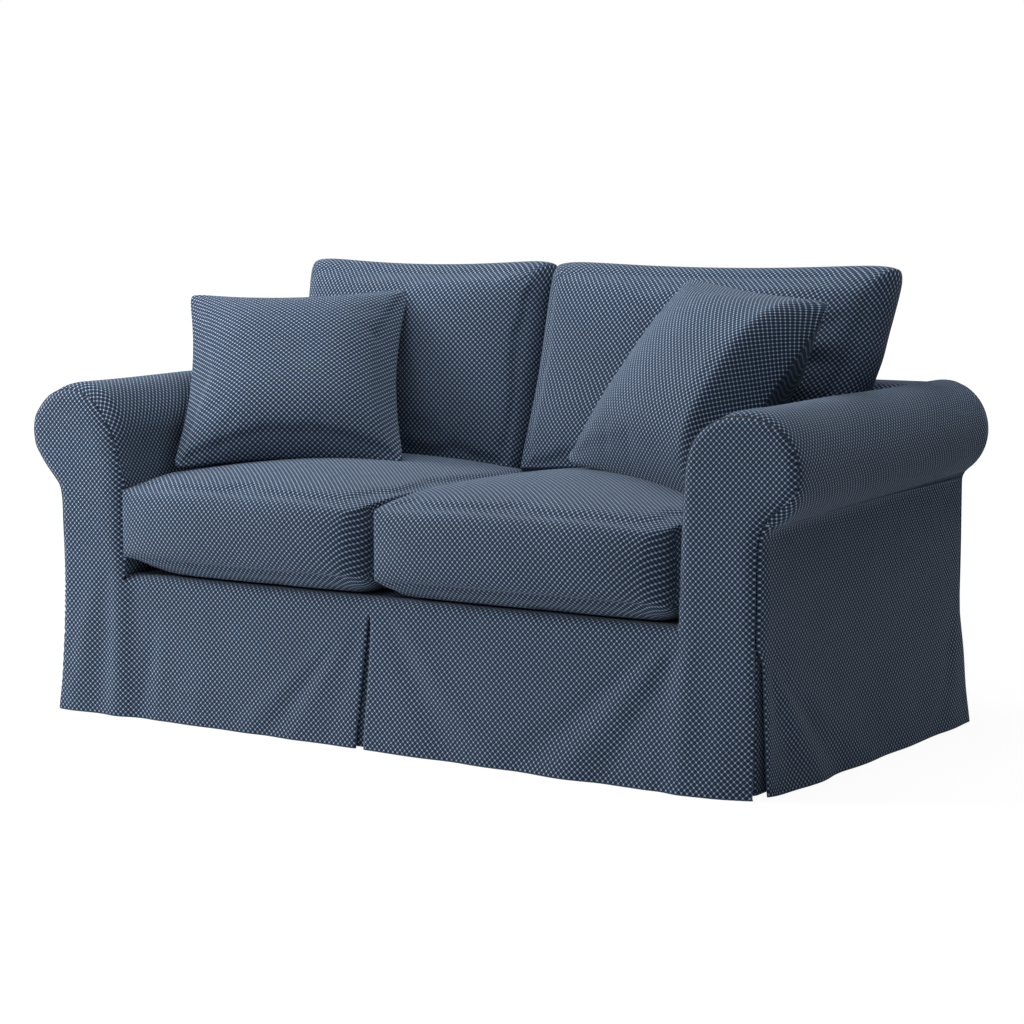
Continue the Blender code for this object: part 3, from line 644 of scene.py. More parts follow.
def skirt_levels():
    """Heights of the rows of the skirt and the seat rail."""
    return np.concatenate([HEM_Z + (PLEAT_Z - HEM_Z) * eased(44, 0.3), [RAIL_Z]])


def rail_patches():
    """Seat rail and skirt between the arms, in two halves that part along the slit.

    Above its face the cloth turns a quarter circle over the rail and runs back to the deck.
    """
    z = skirt_levels()[:, None]
    foot = np.clip(1.0 - z / PLEAT_Z, 0.0, 1.0)
    middle = SLIT_HEAD_X + (SLIT_FOOT_X - SLIT_HEAD_X) * foot
    half = SLIT_HALF * foot ** 0.45
    wall = np.full_like(z, ARM_INNER_X)
    turn = np.linspace(math.pi, math.pi / 2.0, 9)[1:, None]
    nose_y = np.concatenate([NOSE_R * (1.0 + np.cos(turn)), [[0.036], [NOSE_BACK]]])
    nose_z = np.concatenate([RAIL_Z + NOSE_R * np.sin(turn), [[DECK_Z], [DECK_Z]]])
    run = RAIL_Z + np.concatenate([NOSE_R * (math.pi - turn), NOSE_R * (math.pi / 2 - 1) + nose_y[-2:]])
    patches = []
    for left, right, count in ((-wall, middle - half, 80), (middle + half, wall, 90)):
        x = left + (right - left) * eased(count, 0.5)
        place = front_grid(x, z + 0.0 * x)
        turned = rounded(np.abs(x - middle) - half, *SLIT_EDGE)
        place[..., 1] += turned * np.minimum(1.0, foot * 12.0)
        patches.append((place, flat_of(x, z), False))
        x = x[-1]
        out = front_out(x, nose_z + 0.0 * x) * np.clip(1.0 - nose_y / NOSE_BACK, 0.0, 1.0)
        nose = np.concatenate([place[-1:], grid_of(x, FRONT_Y + nose_y - out, nose_z)])
        patches.append((nose, np.concatenate([flat_of(x, RAIL_Z)[None], flat_of(x, run)]), False))
    return patches


def arm_front_patches(word):
    """One arm front over the heights of its skirt and of its wall and roll, edges padded.

    Its face falls back near its outline by a quarter ellipse of the distance to the outline.
    """
    side = SIDES[word]
    line = arm_outline(word)[0]
    share = edge_share(line)
    wide, deep = smooth(EDGE_WIDE[word], share), smooth(EDGE_DEEP[word], share)
    patches = []
    for levels in (skirt_levels(), arm_levels(word)):
        z = levels[:, None]
        inner, outer = arm_span(word, z)
        x = side * (inner + (outer - inner) * eased(34))
        z = z + 0.0 * x
        place = front_grid(x, z)
        gaps, which = nearest(np.stack([np.abs(x), z], -1), line)
        place[..., 1] += rounded(gaps, wide[which], deep[which])
        patches.append((place, flat_of(x, z), side < 0))
    return patches


def front_cloth(material):
    """Front of the cover in one: both arm fronts, the seat rail and the skirt with its slit."""
    patches = rail_patches() + arm_front_patches("left") + arm_front_patches("right")
    return build("front_cloth", patches, material, CLOTH)


def arm_profile(y, word):
    """Points (x, z) across an arm's cloth: up from the deck, over the roll, under to the seam."""
    roll_x, roll_z, radius = roll_at(y, word)
    up = np.linspace(DECK_Z - 0.003, LEAN_Z, 16)
    lean = np.linspace(LEAN_Z, roll_z, 22)[1:]
    neck_x, neck_z = neck_at(y, word)
    touch, seam = seam_angles(y, word)
    turn = np.linspace(math.pi, touch - math.pi, 104)[1:]
    hollow = np.linspace(touch, seam + 0.12, 8)[1:]
    z = np.concatenate([up, lean])
    inner = np.stack([arm_inner(z, y, word), z], -1)
    over = np.stack([roll_x + radius * np.cos(turn), roll_z + radius * np.sin(turn)], -1)
    under = np.stack([neck_x + NECK_R * np.cos(hollow), neck_z + NECK_R * np.sin(hollow)], -1)
    under[:, 0] -= 0.0015
    return np.concatenate([inner, over, under])


def arm_shoulder(word, points):
    """Way from each (x, z) point of an arm's section to its front's outline, and the outline's share.

    Both are taken at the same angle round the roll's centre.
    """
    centre = np.array(roll_at(FRONT_Y, word)[:2])
    line = arm_outline(word)[0]
    angle = np.unwrap(np.arctan2(*(line - centre).T[::-1]))[::-1]
    wanted = np.arctan2(*(points - centre).T[::-1])
    middle = (angle[0] + angle[-1]) / 2.0
    wanted = wanted + 2.0 * math.pi * np.round((middle - wanted) / (2.0 * math.pi))
    at = np.stack([np.interp(wanted, angle, line[::-1, axis]) for axis in (0, 1)], -1)
    return at - points, np.interp(wanted, angle, edge_share(line)[::-1])


def shoulder_fade(behind):
    """1 at an arm's front and 0 behind its shoulder, along a quarter ellipse."""
    t = np.clip(1.0 - behind / SHOULDER, 0.0, 1.0)
    return 1.0 - np.sqrt(np.clip(1.0 - t * t, 0.0, 1.0))


def front_edge_y(word, x, z, share):
    """y of an arm front's edge at points of its outline."""
    side = SIDES[word]
    return FRONT_Y - front_out(side * x, z) + smooth(EDGE_DEEP[word], share)


def arm_cloth(word, material):
    """Cloth of one arm: its cross-section carried from the arm front's edge to the back seam.

    At the front the section rounds over to the arm front's outline. A tuck along the seam and a
    slow unevenness of the seat side and the roll come on top.
    """
    side = SIDES[word]
    steps = SHOULDER * (1.0 - np.cos(np.linspace(0.0, math.pi / 2.0, 12)))
    back = np.concatenate([steps, np.linspace(SHOULDER, DEPTH - ARM_REAR, 54)[1:]])
    shape = np.array([arm_profile(FRONT_Y + step, word) for step in back])
    way, share = arm_shoulder(word, shape[0])
    edge = shape[0] + way
    start = front_edge_y(word, edge[:, 0], edge[:, 1], share)
    y = start + (BACK_Y - ARM_REAR - start) * (back / back[-1])[:, None]
    shape = shape + way * shoulder_fade(back)[:, None, None]
    centre = np.stack([np.full(len(edge), ROLL_X), np.clip(edge[:, 1], None, ROLL_Z)], -1)
    outward = edge - centre
    outward /= np.linalg.norm(outward, axis=-1)[:, None]
    tuck = SHOULDER_TUCK * np.exp(-back / TUCK_LENGTH)[:, None, None]
    run = along_rows(edge)
    uneven = unrest("arm", y, run) * np.clip(back / 0.05, 0.0, 1.0)[:, None]
    shape = shape + outward * (uneven[..., None] - tuck)
    v = run - run[15] + LEAN_Z
    points = grid_of(side * shape[..., 0], y, shape[..., 1])
    flat = flat_of(side * ARM_INNER_X - side * along_rows(points), v)
    return build(f"arm_{word}_cloth", [(points, flat, side < 0)], material, CLOTH)


def seam_piping(word, material):
    """Thin piping round an arm front: a circle carried along the arm front's outline.

    Its radius fades where the seam lies flush with the cloth.
    """
    side = SIDES[word]
    line = arm_outline(word)[0]
    share = edge_share(line)
    stop = int(np.searchsorted(share, PIPING_END[word][1]))
    begin = int(np.searchsorted(share, PIPING_END[word][0]))
    line, share = line[begin:stop], share[begin:stop]
    y = front_edge_y(word, line[:, 0], line[:, 1], share) - PIPING_AHEAD
    path = np.stack([side * line[:, 0], y, line[:, 1]], -1)
    keep = np.concatenate([[True], np.linalg.norm(np.diff(path, axis=0), axis=-1) > 1e-4])
    path, share = path[keep], share[keep]
    radius = smooth(PIPING_THICK[word], share)
    ahead = np.gradient(path, axis=0)
    ahead /= np.linalg.norm(ahead, axis=-1)[:, None]
    first = np.cross(ahead, (0.0, 1.0, 0.0))
    first /= np.linalg.norm(first, axis=-1)[:, None]
    second = np.cross(ahead, first)
    turn = np.linspace(0.0, 2.0 * math.pi, 13)
    ring = np.cos(turn)[None, :, None] * first[:, None] + np.sin(turn)[None, :, None] * second[:, None]
    tube = path[:, None] + radius[:, None, None] * ring
    tube[:, -1] = tube[:, 0]
    across = turn[None] * PIPING_ROUND
    patches = [(tube, flat_of(along_rows(path)[:, None], across), False)]
    for end, row, flip in ((tube[0], path[0], True), (tube[-1], path[-1], False)):
        cap = np.stack([end, np.broadcast_to(row, end.shape)])
        patches.append((cap, flat_of(np.zeros((2, 1)), across), flip))
    return build("piping_" + word, patches, material)


def side_out(behind, z):
    """How far an outside arm stands out: the hem's flare, the fanned folds and a slight unrest."""
    out = smooth(HEM_OUT_SIDE, behind) * flare(z) + folds(SIDE_FOLDS, behind, z)
    return out + unrest("side", behind, z) * loose("side", z)


def outside_arm(word, material):
    """Outside of one arm: hem to the seam under the roll, where it hollows out to meet it.

    Its front edge rounds over to the arm front's outline, as the roll's cloth does.
    """
    side = SIDES[word]
    behind = SIDE_START + (DEPTH - SIDE_REAR - SIDE_START) * eased(116, 0.6)
    neck_z = neck_at(FRONT_Y + behind, word)[1]
    touch_z = neck_z + NECK_R * np.sin(seam_angles(FRONT_Y + behind, word)[1]) - 0.001
    low = HEM_Z + (neck_z - HEM_Z) * eased(70, 0.25)[:, None]
    high = neck_z + (touch_z - neck_z) * np.linspace(0.0, 1.0, 12)[1:, None]
    z = np.concatenate([low, high])
    behind = behind + 0.0 * z
    x = arm_outer(z, FRONT_Y + behind, word)
    head, _ = arm_shoulder(word, np.stack([x[-1:, 0], z[-1:, 0]], -1))
    edge_z = z[:, 0] + head[0, 1] * (z[:, 0] - HEM_Z) / (z[-1, 0] - HEM_Z)
    edge_x = arm_span(word, edge_z)[1]
    line = arm_outline(word)[0]
    share = edge_share(line)[nearest(np.stack([edge_x, edge_z], -1), line)[1]]
    whole = np.clip((z[:, 0] - PLEAT_Z + 0.02) / 0.02, 0.0, 1.0)[:, None]
    over = shoulder_fade(behind - SIDE_START)
    x = x + ((edge_x - x[:, 0])[:, None] * whole - 0.004 * (1.0 - whole)) * over
    z = z + (edge_z - z[:, 0])[:, None] * over * whole
    x = x + side_out(behind, z) * np.clip(1.0 - over * whole, 0.0, 1.0)
    x = x - rounded(DEPTH - SIDE_REAR - behind, *SIDE_EDGE)
    ahead = FRONT_Y + SIDE_START - front_edge_y(word, edge_x, edge_z, share)[:, None]
    slit = -SIDE_SLIT[0] - SIDE_SLIT[1] * flare(z)
    near = np.exp(-((behind - SIDE_START) / SIDE_SLIT[2]) ** 2)
    y = FRONT_Y + behind - (ahead * whole + slit * (1.0 - whole)) * near
    patch = (grid_of(side * x, y, z), flat_of(side * (SIDE_X + behind), z), side < 0)
    return build(f"outside_arm_{word}_cloth", [patch], material, CLOTH)


def back_path():
    """Points (y, z) up the leaning inside back, round its top by a quarter circle, to the back."""
    crest = BACK_TOP_Z - BACK_ROLL_R
    z = np.linspace(DECK_Z + 0.001, crest, 40)
    face = np.stack([BACK_FOOT_Y + (BACK_HEAD_Y - BACK_FOOT_Y) * (z - DECK_Z) / (crest - DECK_Z), z], -1)
    turn = np.linspace(math.pi, math.pi / 2.0, 14)[1:]
    y = BACK_HEAD_Y + BACK_ROLL_R * (1.0 + np.cos(turn))
    arc = np.stack([y, crest + BACK_ROLL_R * np.sin(turn)], -1)
    top = np.linspace(BACK_HEAD_Y + BACK_ROLL_R, BACK_Y - 0.004, 12)[1:]
    return np.concatenate([face, arc, np.stack([top, np.full(11, BACK_TOP_Z)], -1)])


def inside_back(material):
    """Cloth up the inside of the back and over its top, as wide as the arms leave room for."""
    path = back_path()
    y, z = path[:, :1], path[:, 1:]
    half = arm_inner(np.minimum(z, BACK_TOP_Z - 0.003), y) - 0.001
    x = half * (2.0 * eased(90, 0.3) - 1.0)
    run = along_rows(path[:, None])
    sag = np.clip(unrest("inside", x, run), None, 0.0)
    points = grid_of(x, y - sag, z + sag)
    return build("inside_back_cloth", [(points, flat_of(x, run), False)], material, CLOTH)


def outside_back(material):
    """Whole back of the cover: hem to the top, with both roll ends, hung with slight folds."""
    roll_x, roll_z, radius = roll_at(BACK_Y)
    share = 2.0 * eased(130, 0.5) - 1.0
    level = HEM_Z + (BACK_SPLIT_Z - HEM_Z) * eased(90, 0.1)
    level = np.concatenate([level, np.full(8, BACK_SPLIT_Z)])[:, None]
    climb = np.concatenate([np.zeros(90), np.linspace(0.0, 1.0, 9)[1:]])[:, None]
    half = arm_outer(level + (BACK_TOP_Z - BACK_SPLIT_Z) * climb, BACK_Y)
    x = half * share
    reach = np.clip(np.abs(np.abs(x) - roll_x), 0.0, radius)
    top = np.maximum(BACK_TOP_Z, roll_z + np.sqrt(radius ** 2 - reach ** 2))
    z = level + (top - BACK_SPLIT_Z) * climb
    out = smooth(HEM_OUT_BACK, x) * flare(z) + folds(BACK_FOLDS, x, z)
    out = out + unrest("back", x, z) * loose("back", z)
    edge = np.minimum(half - np.abs(x), np.clip(top - z, 0.0, None) + 0.004)
    y = BACK_Y + out - rounded(edge, *BACK_SIDE_EDGE)
    return build("outside_back_cloth", [(grid_of(x, y, z), flat_of(-x, z), True)], material, CLOTH)


def seat_deck(material):
    """Cloth stretched flat under the seat cushions, dished by a millimetre or so."""
    x = (ARM_INNER_X - GAP) * (2.0 * eased(60, 0.0) - 1.0)
    y = np.linspace(FRONT_Y + NOSE_BACK + GAP, BACK_FOOT_Y, 40)[:, None]
    z = DECK_Z - 0.0002 - np.abs(unrest("deck", x, y))
    return build("deck_cloth", [(grid_of(x, y, z), flat_of(x, y), False)], material, CLOTH)


def corner_pleat(word, end, material):
    """Cloth folded behind one corner slit: a rounded right angle, carried from hem to seam."""
    side = SIDES[word]
    ahead = -1.0 if end == "front" else 1.0
    face_y = FRONT_Y - ARM_PROUD + 0.004 if end == "front" else BACK_Y
    turn = np.linspace(0.0, math.pi / 2.0, 9)
    corner = np.stack([PLEAT_TURN * (1.0 - np.sin(turn)), PLEAT_TURN * (1.0 - np.cos(turn))], -1)
    start = np.stack([np.linspace(PLEAT_WING, PLEAT_TURN, 14), np.zeros(14)], -1)[:-1]
    close = np.stack([np.zeros(14), np.linspace(PLEAT_TURN, PLEAT_WING, 14)], -1)[1:]
    outline = np.concatenate([start, corner, close])
    z = np.linspace(PLEAT_FOOT_Z, PLEAT_Z + 0.012, 40)[:, None]
    x = side * (SIDE_X - PLEAT_IN - outline[:, 0]) + 0.0 * z
    y = face_y - ahead * (PLEAT_IN + outline[:, 1]) + 0.0 * z
    run = along_rows(outline[:, None])[:, 0]
    flip = side * ahead > 0
    points = grid_of(x, y, z)
    return build(f"pleat_{end}_{word}_cloth", [(points, flat_of(run, z), flip)], material, CLOTH)


def centre_pleat(material):
    """Cloth behind the slit in the middle of the front, hanging parallel to the skirt."""
    x = np.linspace(*CENTRE_PLEAT_X, 40)
    z = np.linspace(PLEAT_FOOT_Z, PLEAT_Z + 0.005, 40)[:, None]
    place = front_grid(x + 0.0 * z, z + 0.0 * x)
    place[..., 1] += PLEAT_IN
    return build("pleat_centre_cloth", [(place, flat_of(x, z), False)], material, CLOTH)


# ---------------------------------------------------------------- cushions


def cushion_patches(shape, counts, rear_from=-1.0):
    """Closed cushion as six grids over (a, b, c), each from -1 to 1, that a shape places.

    The flat cloth is laid out from the middle of the face at c = 1 by running lengths. The
    four sides and the rear carry it on, so the weave crosses their edges unbroken.
    """
    a, b, c = (2.0 * eased(count, ends) - 1.0 for count, ends in counts)
    c = c[::-1]
    face = shape(a[None, :], b[:, None], 1.0)
    up = along_rows(face)
    u, v = along_columns(face), up - up[len(b) // 2][None, :]
    patches = [(face, flat_of(u, v), False)]
    for end, row in ENDS:
        rim = shape(a[None, :], end, c[:, None])
        patches.append((rim, flat_of(u[row][None], v[row][None] + end * along_rows(rim)), end < 0))
    for end, row in ENDS:
        rim = shape(end, b[None, :], c[:, None])
        patches.append((rim, flat_of(u[:, row][None] + end * along_rows(rim), v[:, row][None]), end > 0))
    rear = shape(a[None, :], b[:, None], -1.0)
    row = dict(ENDS)[rear_from]
    begin = v[row] + rear_from * along_rows(shape(a[None, :], rear_from, c[:, None]))[-1]
    back = along_rows(rear) if row == 0 else along_rows(rear[::-1])[::-1]
    patches.append((rear, flat_of(along_columns(rear), begin[None] + rear_from * back), True))
    return patches


def seat_shape(x_left, x_right, square):
    """Seat cushion: corners stay low, edges swell between them, the top crowns, the front bulges.

    Behind its lower front edge the underside swells down over the rail.
    """
    middle_x, middle_y = (x_left + x_right) / 2.0, (SEAT_FRONT_Y + SEAT_REAR_Y) / 2.0
    middle_z, thick = (SEAT_UNDER_Z + SEAT_OVER_Z) / 2.0, (SEAT_OVER_Z - SEAT_UNDER_Z) / 2.0

    def shape(a, b, c):
        """Points of the cushion over its three parameters."""
        a, b, c = np.broadcast_arrays(a, b, c)
        off_corner = 1.0 - (np.abs(a) * np.abs(b)) ** 4
        dome = (1.0 - a * a) * (1.0 - b * b)
        lift = SEAT_LIFT * off_corner + SEAT_CROWN * dome
        behind_edge = (b + 1.0) / 2.0 * (SEAT_REAR_Y - SEAT_FRONT_Y)
        turned = 1.0 - np.exp(-behind_edge / SEAT_TURN)
        corner = np.where(a < 0.0, square, SQUARE)
        swell = SEAT_SWELL * turned * (1.0 - np.abs(a) ** (corner + 3.0))
        drop = SEAT_SAG * (1.0 - (np.abs(a) * np.abs(b)) ** corner) + swell
        belly = np.where(b < 0.0, SEAT_BELLY * (1.0 - a ** 4) * (1.0 - 0.6 * c * c), 0.0)
        soft = SEAT_SOFT * (1.0 - a ** 8) * b ** 8 * c ** 8
        end = np.where(a > 0.0, SEAT_END[1], SEAT_END[0])
        near = np.clip(1.0 - (1.0 - np.abs(a)) * (x_right - x_left) / 2.0 / end, 0.0, 1.0)
        back_off = 0.8 * end * (1.0 - np.sqrt(np.clip(1.0 - near * near, 0.0, 1.0)))
        belly = belly - np.where(b < 0.0, back_off * np.abs(b) ** 6 * (1.0 - 0.3 * c ** 6), 0.0)
        tuck = np.where((a > 0.0) & (b < 0.0), SEAT_TUCK * a ** 6 * b ** 4, 0.0)
        x = middle_x + a * (x_right - x_left) / 2.0 - tuck
        y = middle_y + b * ((SEAT_REAR_Y - SEAT_FRONT_Y) / 2.0 + belly) - np.sign(b) * soft
        z = middle_z + c * (thick + np.where(c > 0.0, lift, drop)) - np.sign(c) * soft
        return grid_of(x, y, z)

    return shape


def back_shape(forward, rear_crown, ears, power, edges, dents):
    """Back cushion: leans back, crowned on both faces, its edges half round, its corners as ears."""
    lefts = [(row[0], row[1]) for row in edges]
    rights = [(row[0], row[2]) for row in edges]
    run = np.array((0.0, BACK_HEAD[0] - BACK_FOOT[0], BACK_HEAD[1] - BACK_FOOT[1]))
    length = np.linalg.norm(run)
    front = np.array((0.0, -run[2], run[1])) / length
    foot = np.array((0.0, BACK_FOOT[0] - forward, BACK_FOOT[1]))

    def shape(a, b, c):
        """Points of the cushion over its three parameters."""
        a, b, c = np.broadcast_arrays(a, b, c)
        up = (b + 1.0) / 2.0
        x_left, x_right = smooth(lefts, up), smooth(rights, up)
        dome = (1.0 - np.abs(a) ** power) * (1.0 - np.where(b < 0.0, 0.5, 1.0) * b ** 4)
        crown = np.where(c > 0.0, BACK_CROWN, rear_crown)
        corner = np.where(b < 0.0, BACK_CORNERS[0], BACK_CORNERS[1]) * a ** 10 * b ** 10
        edge = BACK_EDGE * (1.0 - np.sqrt(1.0 - (0.9 * c) ** 2))
        half = (x_right - x_left) / 2.0
        half = half - edge * np.where(b < 0.0, 1.0 + 0.6 * b, 1.0) * np.abs(a) ** 3 - corner
        x = (x_left + x_right) / 2.0 + a * half
        raised = np.where(b > 0.0, ears * (a * a - 0.45) * up, (BACK_SAG[0] + BACK_SAG[1] * a * a) * b)
        pulled = (edge * np.abs(b) ** 3 * np.where(b < 0.0, 0.25, 1.0) + corner) * np.sign(b)
        place = up + (raised - pulled) / length
        out = c * (BACK_HALF + crown * dome) + creases(dents, a, b) * dome * np.clip(c, 0.0, 1.0)
        spot = foot + run * place[..., None] + front * out[..., None]
        spot[..., 0] = x
        return spot

    return shape


def pillow_shape(middle, angles, size, draw, crowns, crest, power, dents):
    """Throw pillow: crowned on both faces, thin at its seam, its sides drawn in between corners.

    `crest` moves the highest part of the front and rear crowns sideways, as a share of half the
    width: how far at mid height, and how much further at the top than there. `power` says how
    full the crowns are on the left and on the right of it.
    """
    lean, turn, roll = (math.radians(angle) for angle in angles)
    stand = Matrix.Rotation(turn, 3, "Z") @ Matrix.Rotation(lean, 3, "X") @ Matrix.Rotation(roll, 3, "Z")

    def shape(a, b, c):
        """Points of the cushion over its three parameters."""
        a, b, c = np.broadcast_arrays(a, b, c)
        aside = np.where(c > 0.0, crest[0][0] + crest[0][1] * b, crest[1][0] + crest[1][1] * b)
        off = (a - aside) / np.where(a < aside, 1.0 + aside, 1.0 - aside)
        below, above, blunt = PILLOW_TALL
        tall = (1.0 - np.abs(b) ** np.where(b < 0.0, below, above)) ** blunt
        dome = (1.0 - np.abs(off) ** np.where(off < 0.0, power[0], power[1])) * tall
        corner = PILLOW_CORNER * a ** 14 * b ** 14
        x = a * (size / 2.0 - draw * (1.0 - b * b) - corner)
        y = b * (size / 2.0 - draw * (1.0 - a * a) - corner)
        z = c * (SEAM_HALF + np.where(c > 0.0, crowns[0], crowns[1]) * dome)
        z = z + creases(dents, a, b) * dome ** 0.5 * np.clip(c, 0.0, 1.0)
        return grid_of(x, y, z) @ np.array(stand).T + np.array(middle)

    return shape


def puff(piece, pressure):
    """Fill a cushion by a short cloth simulation: it starts a little smaller and swells.

    Each move m is eased to limit * tanh(m / limit). The limit is FILL_REACH outwards and a fifth
    of it inwards or along the cloth, so the outline stays as full as its shape.
    """
    mesh = piece.data
    count = len(mesh.vertices)
    rest = np.empty(count * 3, np.float32)
    mesh.vertices.foreach_get("co", rest)
    rest = rest.reshape(-1, 3)
    normals = np.empty(count * 3, np.float32)
    mesh.vertices.foreach_get("normal", normals)
    normals = normals.reshape(-1, 3)
    mesh.vertices.foreach_set("co", (rest - FILL_START * normals).reshape(-1))
    mesh.update()
    cloth = piece.modifiers.new("Filling", "CLOTH")
    facts = cloth.settings
    facts.quality = 5
    facts.mass = 0.3
    facts.tension_stiffness = 20.0
    facts.compression_stiffness = 20.0
    facts.shear_stiffness = 8.0
    facts.bending_stiffness = 0.6
    facts.use_pressure = True
    facts.uniform_pressure_force = pressure
    facts.effector_weights.gravity = 0.0
    facts.air_damping = 3.0
    cloth.collision_settings.use_collision = False
    cloth.point_cache.frame_start, cloth.point_cache.frame_end = 1, FILL_FRAMES
    scene = bpy.context.scene
    for step in range(1, FILL_FRAMES + 1):
        scene.frame_set(step)
    graph = bpy.context.evaluated_depsgraph_get()
    swollen = np.empty(count * 3, np.float32)
    piece.evaluated_get(graph).data.vertices.foreach_get("co", swollen)
    piece.modifiers.remove(cloth)
    scene.frame_set(1)
    moved = swollen.reshape(-1, 3) - rest
    outward = (moved * normals).sum(-1, keepdims=True)
    along = moved - outward * normals
    far = np.maximum(np.linalg.norm(along, axis=-1, keepdims=True), 1e-9)
    little = FILL_REACH / 5.0
    along *= little * np.tanh(far / little) / far
    limit = np.where(outward > 0.0, FILL_REACH, little)
    moved = limit * np.tanh(outward / limit) * normals + along
    mesh.vertices.foreach_set("co", (rest + moved).reshape(-1))
    mesh.update()


def cushion(name, patches, context, pressure):
    """Closed cushion of its grids, filled by simulation and smoothed by one subdivision."""
    piece = build(name + "_cloth", patches, woven(context, "cushion cloth"))
    puff(piece, pressure)
    fine = piece.modifiers.new("Smooth", "SUBSURF")
    fine.levels = fine.render_levels = 1
    return piece


# ---------------------------------------------------------------- stage


def floor_paint(colour, near, far):
    """Pale matt paint that a glow lifts towards white, the more the further away.

    The glow's share eases from `near` at 1.2 m from the middle to `far` at 4 m. Only what looks
    straight at the floor sees it: the light that the floor throws back is the paint's own. The
    paint has a very faint mottle.
    """
    material, tree, shader = paint("floor paint")
    place = node(tree, "TexCoord").outputs["Object"]
    mottle = node(tree, "TexNoise", {"Scale": 3.0, "Vector": place}).outputs["Fac"]
    feed(shader.inputs["Base Color"], two_tones(tree, mottle, colour, 0.985))
    shader.inputs["Roughness"].default_value = 0.8
    shader.inputs["Specular IOR Level"].default_value = 0.1
    away = node(tree, "VectorMath", {0: place}, operation="LENGTH").outputs["Value"]
    inputs = dict(enumerate((away, *GLOW_REACH, near, far)))
    share = node(tree, "MapRange", inputs, interpolation_type="SMOOTHSTEP").outputs[0]
    path = node(tree, "LightPath").outputs["Is Camera Ray"]
    seen = node(tree, "Math", {0: share, 1: path}, operation="MULTIPLY").outputs[0]
    glow = node(tree, "Emission", {"Strength": GLOW}).outputs[0]
    mix = node(tree, "MixShader", {0: seen, 1: shader.outputs[0], 2: glow}).outputs[0]
    feed(tree.nodes["Material Output"].inputs["Surface"], mix)
    return material


def floor(material):
    """Flat round floor: a disc whose rings grow wider by a constant factor."""
    ring = np.concatenate([[0.0], np.geomspace(0.5, 30.0, 18)])[:, None]
    turn = np.linspace(0.0, 2.0 * math.pi, 97)
    x, y = ring * np.cos(turn), ring * np.sin(turn)
    x[:, -1], y[:, -1] = x[:, 0], y[:, 0]
    points = grid_of(x, y, 0.0)
    return build("floor", [(points, flat_of(x, y), False)], material)


def lamp(name, kind, source, place=(0.0, 0.0, 0.0), **values):
    """Light that shines from the direction `source`; `values` set its own properties."""
    data = bpy.data.lights.new(name, kind)
    for key, value in values.items():
        setattr(data, key, value)
    light = bpy.data.objects.new(name, data)
    light.location = place
    light.rotation_euler = (-source).to_track_quat("-Z", "Y").to_euler()
    bpy.context.scene.collection.objects.link(light)


def lamps():
    """Square soft lights turned towards a point, and even light from far away."""
    for name, place, size, power in NEAR_LAMPS:
        lamp(name, "AREA", Vector(place) - Vector(LAMPS_AIM), place, size=size, energy=power)
    for name, *angles, strength in FAR_LAMPS:
        turn, rise, spread = (math.radians(angle) for angle in angles)
        source = (math.sin(turn) * math.cos(rise), -math.cos(turn) * math.cos(rise), math.sin(rise))
        lamp(name, "SUN", Vector(source), angle=spread, energy=strength)


def studio_world(seen, cast):
    """White surroundings: `seen` behind the object, `cast` as the light they give."""
    world = bpy.data.worlds.new("studio")
    world.use_nodes = True
    tree = world.node_tree
    tree.nodes.clear()
    white = (1.0, 1.0, 1.0, 1.0)
    light = node(tree, "Background", {"Color": white, "Strength": cast}).outputs[0]
    shown = node(tree, "Background", {"Color": white, "Strength": seen}).outputs[0]
    path = node(tree, "LightPath").outputs["Is Camera Ray"]
    mix = node(tree, "MixShader", {0: path, 1: light, 2: shown}).outputs[0]
    node(tree, "OutputWorld", {0: mix})
    bpy.context.scene.world = world


def camera():
    """Camera at the chosen viewing angle."""
    data = bpy.data.cameras.new("camera")
    data.lens = CAMERA_LENS
    data.sensor_width = 36.0
    data.clip_end = 100.0
    view = bpy.data.objects.new("camera", data)
    view.location = CAMERA_PLACE
    view.rotation_euler = (math.pi / 2.0 - CAMERA_PITCH, 0.0, CAMERA_YAW)
    bpy.context.scene.collection.objects.link(view)
    bpy.context.scene.camera = view


# ---------------------------------------------------------------- sizes and colours a user may change


def fill_property(name, what):
    """Pressure that fills a kind of cushion."""
    text = "Pressure that fills the " + what
    return bpy.props.FloatProperty(name=name, description=text, default=4.0, min=0.0)


def colour_property(name, text, colour):
    """Colour that a user may pick."""
    return bpy.props.FloatVectorProperty(
        name=name, description=text, subtype="COLOR", default=colour, min=0.0, max=1.0)


class SlipcoverSizes(bpy.types.PropertyGroup):
    """Sizes of the cloth and its fillings."""

    weave: bpy.props.FloatProperty(
        name="Weave repeat", description="Distance between two crossings of the woven lines",
        default=0.0109, min=0.002, unit="LENGTH")
    seat_fill: fill_property("Seat fill", "seat cushions")
    back_fill: fill_property("Back fill", "back cushions")
    pillow_fill: fill_property("Pillow fill", "throw pillows")


class SlipcoverColours(bpy.types.PropertyGroup):
    """Colours of the woven cloth, its piping and the floor."""

    ground: colour_property("Ground", "Colour between the woven lines", (0.0085, 0.0175, 0.0390))
    line: colour_property("Lines", "Colour of the diagonal lines", (0.072, 0.108, 0.164))
    dot: colour_property("Dots", "Colour of the raised dots at the crossings", (0.300, 0.362, 0.440))
    # Piping colour: partly the cord cloth's own navy, partly painted shade of the crease along the seam.
    cord: colour_property("Piping", "Colour of the cloth over the piping cord", (0.016, 0.022, 0.036))
    floor: colour_property("Floor", "Colour of the studio floor", (0.93, 0.93, 0.93))


def woven(context, name):
    """The woven cloth by its name, made when it is first asked for."""
    sizes, colours = context.scene.slipcover_sizes, context.scene.slipcover_colours
    known = bpy.data.materials.get(name)
    return known or weave(name, sizes.weave, colours.ground, colours.line, colours.dot)


